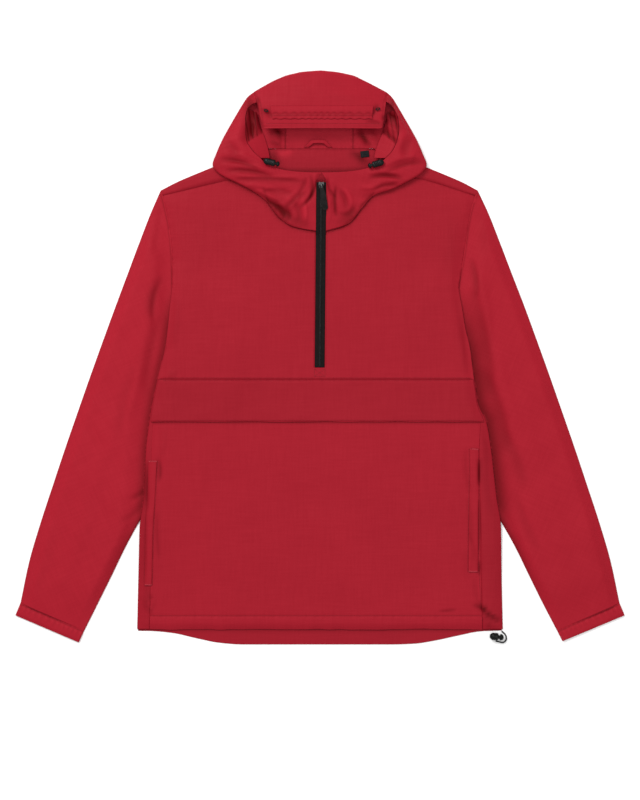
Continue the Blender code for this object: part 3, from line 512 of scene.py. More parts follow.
def pull_axis():
    tilt = Matrix.Rotation(zip_tilt(SLIDER_Y), 3, "X")
    return slider_foot() + tilt @ Vector((0, 0, SLIDER_SIZE[2] + PULL_AXIS_LIFT))


def smooth_route(points, per_span):
    """Points of a Catmull-Rom curve through the route."""
    ends = [2 * Vector(points[0]) - Vector(points[1])]
    ends += [Vector(p) for p in points]
    ends += [2 * Vector(points[-1]) - Vector(points[-2])]
    out = []
    for a, b, c, d in zip(ends, ends[1:], ends[2:], ends[3:]):
        for step in range(per_span):
            t = step / per_span
            out.append(0.5 * (2 * b + (c - a) * t + (2 * a - 5 * b + 4 * c - d) * t * t
                              + (3 * b - a - 3 * c + d) * t ** 3))
    return out + [Vector(points[-1])]


# ---------------------------------------------------------------- folds and seams (mm)
# A fold runs from its start to its end, bowed sideways in the middle.  height is over the
# cloth beside it, and shade is painted shade: how much darker the cloth is painted along it,
# or, where negative, how much lighter, as painted light on a ridge.
Fold = namedtuple("Fold", "x0 y0 x1 y1 bow width height shade")

# Chest and lower front: faint press marks, side panel folds and the gathers at the pockets.
FRONT_FOLDS = table(Fold, [
    (-176, 205, -196, 120, 6, 9, 0.7, 0.03), (-150, 60, -172, -25, -5, 10, 0.6, 0.02),
    (120, 150, 172, 40, 8, 11, 0.7, 0.03), (196, 228, 180, 130, 5, 9, 0.7, 0.04),
    (204, 205, 196, 118, -3, 5, 0.9, 0.06), (212, 96, 218, -20, -3, 4, 1.0, 0.1),
    (206, 80, 220, -28, 2, 4, -0.9, 0.08), (-214, 92, -221, 20, 3, 4, 0.9, 0.08),
    (-214, -20, -228, -30, 0, 4, 0.8, 0.1), (-233, -104, -240, -150, 3, 4, 1.0, 0.06),
    (-241, -152, -240, -185, 2, 2.6, -0.9, 0.48), (-260, -156, -259, -228, 0, 3.4, -0.7, 0.6),
    (-259.5, -226, -261, -336, 0, 2.0, -0.4, 0.32), (238.2, -152, 238.2, -190, 0, 1.9, -0.6, 0.95),
    (237.8, -214, 238.2, -288, 0, 1.4, -0.4, 0.6), (238.8, -304, 238.8, -326, 0, 1.5, -0.5, 0.75),
    (-243, -232, -240, -300, -2, 2.6, -0.9, 0.22), (-243, -196, -246, -330, 3, 3.0, 0.9, 0.05),
    (-251, -352, -262, -368, 2, 2.4, 1.0, 0.16), (-263, -370, -252, -383, 2, 2.4, 1.0, 0.16),
    (-259, -346, -249, -362, -2, 2.2, -0.8, 0.14), (-268, -356, -257, -380, 2, 2.4, 0.8, 0.1),
    (-247, -362, -254, -383, 0, 2.2, 0.8, 0.12), (-268, -120, -267, -330, 2, 3.0, -0.6, 0.1),
    (-262, -330, -262, -380, 2, 3.0, 0.8, 0.08), (219, -140, 224, -200, -2, 2.8, -0.9, 0.16),
    (222, -212, 226, -282, 2, 3.0, -0.9, 0.18), (231, -140, 234, -190, 1, 2.4, 0.9, 0.04),
    (222, -262, 234, -318, 3, 2.8, -0.8, 0.12), (218, -286, 222, -330, -2, 3.0, 0.7, 0.08),
    (233, -330, 239, -372, -2, 2.8, -0.9, 0.14), (243, -110, 252, -200, 3, 4.0, 0.8, 0.06),
    (249, -150, 257, -240, -3, 3.2, -0.8, 0.12), (252, -206, 263, -262, 3, 3.0, 0.9, 0.08),
    (246, -118, 250, -160, 2, 3.0, -0.6, 0.12), (262, -290, 264, -350, 2, 5.0, 0.8, 0.04),
    (240, -366, 262, -390, -3, 2.6, -1.8, 0.62), (230, -370, 252, -384, 2, 2.6, -1.4, 0.5),
    (246, -368, 270, -380, 3, 3.4, 1.4, 0.02), (251, -388, 272, -392, 2, 2.2, -1.2, 0.5),
    (252, -396, 270, -402, -2, 2.0, 1.2, 0.1), (256, -392, 272, -399, 2, 1.8, -1.1, 0.42),
    (247, -388, 252, -406, 1, 2.2, -1.2, 0.44), (179, -379.5, 203, -377.5, 0, 1.6, -0.9, 0.4),
    (-110, -120, -96, -190, 6, 14, 0.7, 0.02), (60, -150, 96, -235, -8, 15, 0.8, 0.02),
    (-40, -230, 30, -300, 10, 18, 0.8, 0.01), (100, -290, 150, -345, 6, 14, 0.7, 0.02),
    (-170, -240, -130, -335, -8, 15, 0.7, 0.02),
])

# Outside of the hood and collar.
HOOD_FOLDS = table(Fold, [
    # over the wearer's right shoulder
    (-146, 305, -84, 287, 5, 3.6, 2.2, 0.01), (-148, 296, -92, 280, 4, 3.0, -2.3, 0.45),
    (-144, 287, -66, 277, 4, 3.4, 2.4, -0.01), (-138, 279, -72, 270, 4, 2.8, -2.3, 0.49),
    (-130, 273, -34, 270, -4, 3.2, 2.2, -0.02), (-124, 266, -22, 262, 3, 2.8, -2.4, 0.45),
    (-112, 258, -58, 247, 3, 3.2, 2.1, -0.03), (-104, 252, -60, 232, -3, 3.0, -2.3, 0.41),
    (-96, 250, -52, 227, 3, 2.6, 2, -0.14), (-84, 247, -40, 244, 4, 3.4, -2, 0.27),
    (-126, 330, -112, 300, 4, 5.0, 1.4, -0.03), (-138, 322, -124, 292, 4, 5.0, -1.6, 0.18),
    (-120, 366, -128, 320, 3, 6.0, 1, -0.04),
    # gathers from the top of the zip
    (-9, 270, -26, 232, 7, 2.6, 2.5, -0.03), (-13, 270, -29, 224, 9, 2.2, -2.8, 0.68),
    (-4, 268, -15, 236, 2, 2.0, -2.3, 0.54), (-20, 268, -40, 238, 4, 2.6, -2.1, 0.32),
    (-24, 236, -22, 202, 2, 2.6, 2.2, -0.15), (-30, 246, -48, 222, 3, 3.0, 2, -0.06),
    (-38, 232, -30, 205, 3, 3.0, -2.1, 0.32), (-52, 222, -44, 206, 2, 3.0, -2.3, 0.54),
    (-66, 228, -52, 208, 3, 3.2, -2.3, 0.68), (12, 268, 23, 240, -4, 2.0, -2.4, 0.49),
    (8, 270, 17, 246, -2, 2.0, 2, -0.03), (24, 254, 25, 212, -2, 2.2, -3.1, 0.81),
    (21, 252, 20, 218, 2, 1.8, 1.8, -0.06), (30, 250, 40, 222, 3, 2.8, -2.1, 0.36),
    (36, 252, 48, 228, 3, 3.0, 1.8, -0.09), (14, 240, 14, 204, 1, 1.8, 1.4, -0.01),
    (30, 214, 52, 226, -4, 3.2, -2.1, 0.49), (-2, 273, 7, 262, 1, 1.8, -2.8, 0.77),
    # over the wearer's left shoulder
    (150, 300, 92, 283, -5, 3.6, 2.2, -0.01), (154, 290, 100, 276, -4, 3.0, -2.3, 0.41),
    (122, 266, 76, 268, -4, 2.8, -2.9, 0.68), (126, 272, 72, 275, -3, 3.2, 2.2, -0.03),
    (118, 256, 82, 251, -4, 2.8, -2.4, 0.49), (132, 266, 96, 258, -3, 3.4, 2.1, -0.03),
    (96, 262, 60, 254, 4, 3.0, 2, -0.04), (104, 250, 66, 240, 3, 3.0, -2, 0.27),
    (140, 330, 128, 294, -5, 5.0, -1.6, 0.22), (130, 340, 118, 300, -4, 5.0, 1.4, -0.04),
    (146, 312, 134, 284, -3, 4.0, 1.4, -0.02),
    # lower collar, on the wearer's right
    (-84, 241, -58, 227.5, 0, 3.0, 1.6, -0.1), (-82, 236, -56, 223, 0, 2.6, -1.6, 0.56),
    (-56, 228, -26, 252, 2, 3.0, 1.5, -0.08), (-52, 222, -22, 247, 2, 2.6, -1.5, 0.42),
    # hollows of the collar under its rolled edge, with their painted shade
    (-80, 236, -42, 205, 4, 10, -0.9, 0.42), (-44, 206, -16, 196, 3, 6, -0.6, 0.34),
    (26, 202, 56, 222, -4, 7, -0.8, 0.4), (60, 226, 78, 242, -2, 4, -0.6, 0.34),
    # creased notches beside the brim, with their painted shade
    (-104, 388, -109, 322, 5, 5.5, -4.5, 0.95), (-100, 350, -101, 330, 0, 2.6, -2.8, 0.95),
    (-107, 380, -111, 344, 1, 2.4, 2.1, 0.09), (-93, 386, -88, 340, -2, 2.6, -2.5, 0.95),
    (-97, 362, -95, 336, 1, 2.2, 2.2, -0.02), (100, 372, 118, 356, -3, 2.8, -2.9, 0.9),
    (97, 382, 114, 366, 2, 2.6, 1.8, -0.01), (108, 384, 120, 340, -5, 3.4, -2.8, 0.81),
    (96, 343, 115, 322, -2, 2.8, -2.9, 0.95), (98, 352, 116, 338, -2, 2.8, 2, 0),
    (93, 362, 104, 350, 1, 2.6, -2.1, 0.58),
    # brim and crown
    (-86, 372, -70, 362, 1, 3.0, -2, 0.49), (88, 378, 78, 362, -1, 2.6, -2.1, 0.54),
    (70, 356, 92, 352, 1, 2.4, -1.6, 0.36), (-60, 402, 50, 405, 8, 16, 0.8, 0.01),
    (-40, 392, -10, 384, 3, 9, 0.6, 0.02), (20, 396, 62, 388, -3, 9, 0.6, 0.02),
])

# Inside of the hood's back, seen through its opening, and the floor side of the hood.
INSIDE_FOLDS = table(Fold, [
    (-72, 340, -56, 334, 2, 3.0, 1.35, 0.65), (-78, 330, -56, 340, -2, 3.4, 1.35, 0.19),
    (-76, 324, -58, 316, 2, 2.6, 1.35, 0.42), (-66, 342, -60, 320, 2, 2.4, 1.2, 0.34),
    (60, 343, 77, 318, -2, 3.0, 1.5, 0.65), (66, 344, 84, 328, -3, 3.0, 1.5, 0.19),
    (56, 336, 70, 320, 2, 2.6, 1.2, 0.46), (74, 342, 88, 316, 3, 3.0, 1.35, 0.34),
    (-10, 400, 30, 380, 5, 10, 0.9, 0.0), (-90, 380, -70, 350, 4, 8, 0.9, 0.0),
])

# Back panel: a few long shallow press marks, and what shows of it inside the neck.
BACK_FOLDS = table(Fold, [
    (-72, 309, -60, 290, -2, 5, 0.6, 0.6), (-64, 307, -40, 311, -2, 4, 0.4, -0.25),
    (46, 309, 66, 291, 3, 4.5, 0.6, 0.6), (58, 310, 76, 292, -2, 4.0, 0.5, 0.4),
    (-50, 300, 40, 296, -5, 9, 0.4, 0.04), (-150, 210, -120, 60, 10, 16, 0.5, 0.03),
    (40, 180, 90, 20, -12, 18, 0.5, 0.03), (-60, 20, 0, -140, 10, 18, 0.5, 0.03),
    (120, -60, 90, -220, -10, 16, 0.5, 0.03), (-170, -150, -140, -320, 9, 15, 0.5, 0.03),
    (30, -260, 130, -360, 8, 14, 0.5, 0.03), (-225, -300, -200, -385, 4, 8, 0.4, 0.06),
    (222, -330, 240, -395, -4, 6, 0.4, 0.1),
])

# Upper layer of the sleeves, by side.
SLEEVE_FOLDS = {
    "right": table(Fold, [
        (-234, 232, -246, 150, -4, 6, -1.4, 0.1), (-246, 160, -240, 70, -4, 7, 1.6, 0.02),
        (-239, 116, -251, 58, -5, 5, -2.4, 0.44), (-249, 108, -254, 40, -3, 4, 1.6, 0.06),
        (-240, 60, -262, -60, -4, 6, -1.8, 0.24), (-264, 40, -296, -110, 5, 9, 1.8, 0.0),
        (-270, 0, -300, -120, -5, 6, -1.4, 0.12), (-300, -60, -360, -230, 8, 12, 1.6, 0.0),
        (-262, -196, -282, -212, 2, 3, -1.2, 0.34), (-264, -216, -296, -246, 3, 4, -1.0, 0.22),
        (-340, -210, -392, -344, 6, 10, 1.3, 0.02), (-400, -250, -430, -352, 4, 8, 1.0, 0.03),
    ]),
    "left": table(Fold, [
        (236, 228, 248, 150, 4, 6, -1.2, 0.1), (228, 146, 234, 88, 3, 4, -1.8, 0.34),
        (240, 120, 252, 10, 4, 7, 1.8, 0.04), (232, 92, 258, -50, 4, 7, -2.2, 0.34),
        (246, -20, 282, -140, 6, 7, -2.0, 0.34), (262, 20, 300, -110, -4, 9, 1.8, 0.0),
        (276, -110, 306, -190, 3, 7, -1.4, 0.22), (300, -60, 356, -220, -8, 12, 1.5, 0.0),
        (300, -170, 340, -270, 5, 8, 1.2, 0.02), (292, -200, 330, -290, -3, 5, -1.1, 0.14),
        (344, -212, 394, -344, -6, 10, 1.2, 0.02), (398, -250, 428, -346, -4, 8, 1.0, 0.03),
    ]),
}

# Seams pull the cloth into a fine valley, and pucker it over reach.  shade is painted shade
# along the valley, with painted light and shade across the puckers.
Seam = namedtuple("Seam", "path depth pucker pitch reach shade")

NECK_SEAM = {
    "right": [(-84, 252), (-77, 231), (-61, 210), (-42, 197), (-19, 190.5), (-7, 189.6)],
    "left": [(80, 246), (77, 242), (63, 228), (52, 210), (33, 195), (10, 189.5)],
}


def chest_line(y, inset):
    """Level line across the front, ending inset from the side seams."""
    return [(side_x("right_seam", y) + inset, y), (side_x("left_seam", y) - inset, y)]


def armhole_line(side, inset):
    inward = 1 if side == "right" else -1
    return [(getattr(row, side) + inward * inset, row.y) for row in ARMHOLES]


def shoulder_line(side, drop):
    return [(c.x, c.front_y - drop) for c in COLUMNS[side][:5]]


FRONT_SEAMS = table(Seam, [
    (chest_line(HEM_STITCH_Y, 0), 0.45, 0.4, 9.0, 5.0, 0.15),
    (chest_line(FLAP_TOP_Y, 0), 0.7, 0.12, 11.0, 3.0, 0.24),
    (NECK_SEAM["right"], 0.6, 0.25, 7.0, 4.0, 0.3),
    (NECK_SEAM["left"], 0.6, 0.25, 7.0, 4.0, 0.3),
    (armhole_line("right", 0), 0.9, 0.15, 12.0, 4.0, 0.34),
    (armhole_line("left", 0), 0.9, 0.15, 12.0, 4.0, 0.34),
    (shoulder_line("right", 0), 0.4, 0.08, 12.0, 2.4, 0.22),
    (shoulder_line("left", 0), 0.4, 0.08, 12.0, 2.4, 0.26),
])
HOOD_SEAMS = table(Seam, [
    (NECK_SEAM["right"], 0.5, 0.35, 8.0, 5.0, 0.34),
    (NECK_SEAM["left"], 0.5, 0.35, 8.0, 5.0, 0.38),
    ([(-99, 398), (-88, 380), (-84, BRIM_Y)], 0.7, 0.3, 8.0, 4.0, 0.3),
    ([(100.8, 397), (95, 380), (93, BRIM_Y)], 0.7, 0.3, 8.0, 4.0, 0.3),
    ([(-82, BRIM_Y + 2.6), (91, BRIM_Y + 2.6)], 0.4, 0.15, 8.0, 3.0, 0.12),
])
INSIDE_SEAMS = table(Seam, [
    ([(-52, 313), (-52, 346)], 0.5, 0.2, 7.0, 2.2, 0.5),
    ([(49.5, 313), (49.5, 346)], 0.5, 0.2, 7.0, 2.2, 0.5),
    ([(-84, NECK_BACK_Y), (84, NECK_BACK_Y)], 0.3, 0.15, 9.0, 3.0, 0.3),
])
BACK_SEAMS = [
    Seam([(-84, NECK_BACK_Y), (84, NECK_BACK_Y)], 0.3, 0.1, 9.0, 3.0, 0.3),
    Seam([(-270, -390), (-128, -412), (123, -412), (270, -390)], 0.2, 0.2, 9.0, 4.0, 0.06),
]


# ---------------------------------------------------------------- fine surfaces
def ease(low, high, value):
    t = np.clip((value - low) / (high - low), 0.0, 1.0)
    return t * t * (3 - 2 * t)


def bell(away, width):
    """One at zero, falling off over width."""
    return np.exp(-(away / width) ** 2)


def beside(path, x, y):
    """Distance of each point from a line through the path, and how far along it is."""
    nearest = np.full(x.shape, 1e9)
    place = np.zeros(x.shape)
    done = 0.0
    for (ax, ay), (bx, by) in zip(path, path[1:]):
        run_x = bx - ax
        run_y = by - ay
        length = max(math.hypot(run_x, run_y), 1e-6)
        t = np.clip(((x - ax) * run_x + (y - ay) * run_y) / length ** 2, 0.0, 1.0)
        away = np.hypot(x - ax - t * run_x, y - ay - t * run_y)
        closer = away < nearest
        nearest = np.where(closer, away, nearest)
        place = np.where(closer, done + t * length, place)
        done += length
    return nearest, place


def between_knots(knots, values, places):
    """Smooth values at new places, with no overshoot between the knots."""
    span = np.diff(knots)[:, None, None]
    slope = np.diff(values, axis=0) / span
    tangent = np.zeros_like(values)
    tangent[0] = slope[0]
    tangent[-1] = slope[-1]
    same_way = slope[:-1] * slope[1:] > 1e-12
    total = np.where(same_way, slope[:-1] + slope[1:], 1.0)
    tangent[1:-1] = np.where(same_way, 2 * slope[:-1] * slope[1:] / total, 0.0)
    at = np.clip(np.searchsorted(knots, places, side="right") - 1, 0, len(knots) - 2)
    t = ((places - knots[at]) / np.diff(knots)[at])[:, None, None]
    h = span[at]
    return ((2 * t ** 3 - 3 * t ** 2 + 1) * values[at]
            + (t ** 3 - 2 * t ** 2 + t) * h * tangent[at]
            + (3 * t ** 2 - 2 * t ** 3) * values[at + 1]
            + (t ** 3 - t ** 2) * h * tangent[at + 1])


def fine_places(knots, step):
    """Every span cut into equal parts no longer than step, and closer at the two borders."""
    places = [knots[0]]
    for low, high in zip(knots, knots[1:]):
        parts = max(1, math.ceil((high - low) / step))
        places += [mix(low, high, k / parts) for k in range(1, parts + 1)]
    border = [knots[0] + d for d in (0.5, 1.2)] + [knots[-1] - d for d in (0.5, 1.2)]
    places += [p for p in border if min(abs(p - q) for q in places) > 0.25]
    return np.array(sorted(places))


def refine(rows, step):
    """A close grid of points through coarse rows, which keeps each of their lines."""
    coarse = np.array([[tuple(p) for p in row] for row in rows], float)
    for axis in (0, 1):
        grid = coarse if axis == 0 else coarse.transpose(1, 0, 2)
        lengths = np.linalg.norm(np.diff(grid[..., :3], axis=0), axis=2).mean(axis=1)
        knots = np.concatenate([[0.0], np.cumsum(np.maximum(lengths, 0.05))])
        grid = between_knots(knots, grid, fine_places(list(knots), step))
        coarse = grid if axis == 0 else grid.transpose(1, 0, 2)
    return coarse


def ripple(x, y, seed, length):
    """Low waves in several directions, about one high, of roughly the given length."""
    rng = np.random.RandomState(seed)
    total = np.zeros(x.shape)
    for _ in range(6):
        heading = rng.uniform(0, math.pi)
        wave = length * rng.uniform(0.7, 1.6)
        phase = rng.uniform(0, math.tau)
        total += np.sin((x * math.cos(heading) + y * math.sin(heading)) * math.tau / wave + phase)
    return total / 3.2


def fold_relief(x, y, folds):
    """Height and shade that a table of folds gives at each point."""
    height = np.zeros(x.shape)
    shade = np.zeros(x.shape)
    for fold in folds:
        run_x = fold.x1 - fold.x0
        run_y = fold.y1 - fold.y0
        length = math.hypot(run_x, run_y)
        t = ((x - fold.x0) * run_x + (y - fold.y0) * run_y) / length ** 2
        side = (-(x - fold.x0) * run_y + (y - fold.y0) * run_x) / length
        inside = np.clip(t, 0.0, 1.0)
        side = side - fold.bow * 4 * inside * (1 - inside)
        width = np.where(side > 0, fold.width, 1.6 * fold.width)
        taper = np.sqrt(np.sin(math.pi * np.clip(inside * 0.96 + 0.02, 0, 1)))
        beyond = bell((t - inside) * length, fold.width)
        profile = bell(side, width) * taper * beyond
        height += fold.height * profile
        shade += fold.shade * profile
    return height, shade


def seam_relief(x, y, seams):
    height = np.zeros(x.shape)
    shade = np.zeros(x.shape)
    for seam in seams:
        away, place = beside(seam.path, x, y)
        near = bell(away, 1.3)
        wander = 1.7 * np.sin(math.tau * place / (seam.pitch * 3.3))
        beat = np.sin(math.tau * place / seam.pitch + wander)
        height += seam.pucker * beat * np.exp(-away / seam.reach) * (1 - near)
        height -= seam.depth * near
        shade += seam.shade * near - 0.5 * seam.shade * beat * bell(away, 2.4) * (1 - near)
    return height, shade


HOOD_FOOT = [(-161, 290), (-152, 275), (-124, 261), (-98, 247), (-79, 232), (-61.5, 209.6),
             (-40, 196), (-5.4, 189.4), (9.7, 189.4), (42.5, 200), (63.5, 224.4), (81, 242.5),
             (107, 251.5), (133, 264), (154, 277.5), (160, 290)]


def puff(x, y):
    """How far the front stands up over its flat form: full in the middle, nothing at edges."""
    edge = [(row.right_edge, row.y) for row in BODY_SIDES]
    right, _ = beside(edge + [(-224.2, 175), (-239.4, SHOULDER_Y)], x, y)
    edge = [(row.left_edge, row.y) for row in BODY_SIDES]
    left, _ = beside(edge + [(219.5, 175), (237, SHOULDER_Y)], x, y)
    hood, _ = beside(HOOD_FOOT, x, y)
    sides = ease(0, 16, np.minimum(left, right))
    return 2.6 * sides * ease(HEM_Y, HEM_Y + 10, y) * ease(2, 50, hood) * ease(258, 225, y)


def front_relief(x, y):
    height, shade = fold_relief(x, y, FRONT_FOLDS)
    dip, line = seam_relief(x, y, FRONT_SEAMS)
    hood, _ = beside(HOOD_FOOT, x, y)
    free = ease(0, 14, hood)
    waves = 0.45 * ripple(x, y, 3, 105) + 0.16 * ripple(x, y, 4, 34)
    # painted shadow on the front along the foot of the hood
    hood_shadow = 0.3 * bell(hood, 4.5)
    return (puff(x, y) + (height + waves) * free + dip, shade + line + hood_shadow)


def hood_relief(x, y):
    height, shade = fold_relief(x, y, HOOD_FOLDS)
    dip, line = seam_relief(x, y, HOOD_SEAMS)
    waves = 0.5 * ripple(x, y, 7, 70) + 0.28 * ripple(x, y, 8, 22)
    return height + waves + dip, shade + line


def inside_relief(x, y):
    height, shade = fold_relief(x, y, INSIDE_FOLDS)
    dip, line = seam_relief(x, y, INSIDE_SEAMS)
    waves = 0.25 + 0.25 * ripple(x, y, 9, 30)
    # painted light: the inside under the brim is painted lighter, as though lit
    light_under_brim = -0.25 * ease(326, 338, y) * ease(60, 46, np.abs(x))
    return np.maximum(height, 0) + waves + 0.3 * dip, shade + line + light_under_brim


def back_relief(x, y):
    height, shade = fold_relief(x, y, BACK_FOLDS)
    dip, line = seam_relief(x, y, BACK_SEAMS)
    # painted shadow on the back's tail just under the front hem
    hem_shadow = 0.36 * bell(np.clip(HEM_Y - y, 0, 99), 3.5)
    # painted shadow line on the back along the collar's top edge
    collar_shadow = 0.5 * bell(y - 279.5, 3.6) * ease(90, 60, np.abs(x))
    return height, shade + line + hem_shadow * ease(-402, -406, y) + collar_shadow


# ---------------------------------------------------------------- shells
SHADE_RANGE = (-0.25, 1.0)      # below zero the cloth is painted lighter, above it painted darker: painted light and shade


def shade_layer(bm):
    return bm.verts.layers.float.new("shade")


def close_grid(points, shades, closed=False):
    """Middle surface through a close grid of points in millimetres, with its shade."""
    rows, across = points.shape[:2]
    bm = bmesh.new()
    bmesh.ops.create_grid(bm, x_segments=across - 1, y_segments=rows - 1, size=1)
    layer = shade_layer(bm)
    for vert, point, shade in zip(bm.verts, points.reshape(-1, 3), shades.reshape(-1)):
        vert.co = Vector(point) * MM
        vert[layer] = shade
    if closed:
        bmesh.ops.remove_doubles(bm, verts=bm.verts, dist=1e-7)
    return bm


def lay_folds(points, relief, weight=1.0):
    """Move points up by a relief, and give their shade."""
    height, shade = relief(points[..., 0], points[..., 1])
    points[..., 2] += height * weight
    return np.clip(shade * weight, *SHADE_RANGE)


def link(item):
    bpy.context.scene.collection.objects.link(item)


def mesh_piece(name, bm, material, body="root"):
    mesh = bpy.data.meshes.new(name)
    bm.to_mesh(mesh)
    bm.free()
    mesh.polygons.foreach_set("use_smooth", [True] * len(mesh.polygons))
    mesh.materials.append(material)
    piece = bpy.data.objects.new(name, mesh)
    link(piece)
    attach(piece, body)
    return piece


def cloth_piece(node, bm, material, thickness=None):
    """A CAD node's cloth: an even wall round its middle surface, with the CAD node hidden."""
    piece = mesh_piece(node + "_cloth", bm, material)
    wall = piece.modifiers.new("Wall", "SOLIDIFY")
    wall.thickness = (thickness or bpy.context.scene.anorak_cloth.thickness) * MM
    wall.offset = 0.0
    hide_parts(node)


# ---------------------------------------------------------------- finishes
def math_node(tree, operation, first, second=None):
    node = tree.nodes.new("ShaderNodeMath")
    node.operation = operation
    for socket, value in zip(node.inputs, (first, second)):
        if value is None:
            continue
        if isinstance(value, (int, float)):
            socket.default_value = value
        else:
            tree.links.new(value, socket)
    return node.outputs[0]


def plain_weave_group():
    """Crossed threads: raised where a thread passes over, with uneven thread thickness."""
    if "plain_weave" in bpy.data.node_groups:
        return bpy.data.node_groups["plain_weave"]
    group = bpy.data.node_groups.new("plain_weave", "ShaderNodeTree")
    for socket, way, kind in (("Vector", "INPUT", "Vector"), ("Threads", "INPUT", "Float"),
                              ("Height", "OUTPUT", "Float"), ("Slub", "OUTPUT", "Float")):
        group.interface.new_socket(socket, in_out=way, socket_type="NodeSocket" + kind)
    inside = group.nodes.new("NodeGroupInput")
    outside = group.nodes.new("NodeGroupOutput")
    split = group.nodes.new("ShaderNodeSeparateXYZ")
    group.links.new(inside.outputs["Vector"], split.inputs[0])
    waves = []
    for axis in ("X", "Y"):
        turned = math_node(group, "MULTIPLY", split.outputs[axis], inside.outputs["Threads"])
        waves.append(math_node(group, "SINE", math_node(group, "MULTIPLY", turned, math.tau)))
    height = math_node(group, "MULTIPLY", waves[0], waves[1])
    group.links.new(math_node(group, "MULTIPLY_ADD", height, 0.5), outside.inputs["Height"])
    slubs = []
    for stretch in ((24, 420, 24), (420, 24, 24)):
        mapping = group.nodes.new("ShaderNodeMapping")
        mapping.inputs["Scale"].default_value = stretch
        group.links.new(inside.outputs["Vector"], mapping.inputs["Vector"])
        slubs.append(noise(group, mapping.outputs[0], 1.0, 3.0))
    both = math_node(group, "ADD", slubs[0], slubs[1])
    group.links.new(math_node(group, "MULTIPLY", both, 0.5), outside.inputs["Slub"])
    return group


def new_material(name):
    material = bpy.data.materials.new(name)
    material.use_nodes = True
    return material, material.node_tree, material.node_tree.nodes["Principled BSDF"]


def made_once(build):
    """Build a material the first time its name is asked for, and find it after that."""
    return lambda name, *values: bpy.data.materials.get(name) or build(name, *values)


def set_inputs(node, values):
    for name, value in values.items():
        node.inputs[name].default_value = value


def object_vector(tree, turn):
    place = tree.nodes.new("ShaderNodeTexCoord")
    mapping = tree.nodes.new("ShaderNodeMapping")
    mapping.inputs["Rotation"].default_value = (0, 0, math.radians(turn))
    tree.links.new(place.outputs["Object"], mapping.inputs["Vector"])
    return mapping.outputs["Vector"]


def mixed_colour(tree, first, second, factor):
    node = tree.nodes.new("ShaderNodeMix")
    node.data_type = "RGBA"
    for socket, value in ((node.inputs[6], first), (node.inputs[7], second)):
        if isinstance(value, tuple):
            socket.default_value = (*value, 1.0)
        else:
            tree.links.new(value, socket)
    tree.links.new(factor, node.inputs[0])
    return node.outputs[2]


def stretched(tree, value, low, high, to_low=0.0, to_high=1.0):
    node = tree.nodes.new("ShaderNodeMapRange")
    tree.links.new(value, node.inputs["Value"])
    for socket, number in zip(("From Min", "From Max", "To Min", "To Max"),
                              (low, high, to_low, to_high)):
        node.inputs[socket].default_value = number
    return node.outputs[0]


def bump(tree, shader, heights):
    """Chain of (height, strength, distance) bumps into the shader's normal."""
    normal = None
    for height, strength, distance in heights:
        node = tree.nodes.new("ShaderNodeBump")
        set_inputs(node, {"Strength": strength, "Distance": distance})
        tree.links.new(height, node.inputs["Height"])
        if normal is not None:
            tree.links.new(normal, node.inputs["Normal"])
        normal = node.outputs["Normal"]
    tree.links.new(normal, shader.inputs["Normal"])


def noise(tree, vector, scale, detail=2.0):
    node = tree.nodes.new("ShaderNodeTexNoise")
    set_inputs(node, {"Scale": scale, "Detail": detail})
    tree.links.new(vector, node.inputs["Vector"])
    return node.outputs["Fac"]


def weave(tree, vector, threads):
    node = tree.nodes.new("ShaderNodeGroup")
    node.node_tree = plain_weave_group()
    node.inputs["Threads"].default_value = threads
    tree.links.new(vector, node.inputs["Vector"])
    return node


@made_once
def nylon(name, grain=0.0, lit_tone=1.0):
    """Red woven nylon whose threads are turned by grain degrees, with painted light and shade."""
    cloth = bpy.context.scene.anorak_cloth
    material, tree, shader = new_material(name)
    vector = object_vector(tree, grain)
    threads = weave(tree, vector, cloth.threads)
    # lit and shaded copies: the last argument makes each piece's nylon lighter or darker, as
    # painted light and shade for how the light falls on it
    base = tuple(channel * lit_tone for channel in cloth.colour)
    deep = tuple(channel * lit_tone for channel in cloth.deep_colour)
    light = tuple(min(channel * 1.34 * lit_tone + 0.002, 1.0) for channel in cloth.colour)
    patch = stretched(tree, noise(tree, vector, 7.0, 3.0), 0.3, 0.7)
    slub = stretched(tree, threads.outputs["Slub"], 0.34, 0.66)
    varied = mixed_colour(tree, base, light, math_node(tree, "MULTIPLY", patch, 0.16))
    streaked = mixed_colour(tree, varied, deep, math_node(tree, "MULTIPLY", slub, 0.1))
    # painted shade: the shade attribute darkens the colour towards the deep colour in folds, along
    # seams and where shadow falls
    shade = tree.nodes.new("ShaderNodeAttribute")
    shade.attribute_name = "shade"
    dark = stretched(tree, shade.outputs["Fac"], 0.0, 1.0)
    shaded = mixed_colour(tree, streaked, deep, dark)
    # painted light: below zero the shade attribute lightens the colour, for lit ridges and lit
    # hollows
    painted_light = stretched(tree, shade.outputs["Fac"], SHADE_RANGE[0], 0.0, 1.0, 0.0)
    final = mixed_colour(tree, shaded, light, painted_light)
    tree.links.new(final, shader.inputs["Base Color"])
    tree.links.new(stretched(tree, slub, 0.0, 1.0, 0.5, 0.62), shader.inputs["Roughness"])
    set_inputs(shader, {"Specular IOR Level": 0.06, "Sheen Weight": 0.03,
                        "Sheen Roughness": 0.4, "Sheen Tint": (1.0, 0.3, 0.32, 1.0)})
    bump(tree, shader, [(noise(tree, vector, 150.0, 3.0), 0.16, 0.001),
                        (threads.outputs["Slub"], 0.2, 0.0008),
                        (threads.outputs["Height"], 0.3, 0.00012)])
    return material


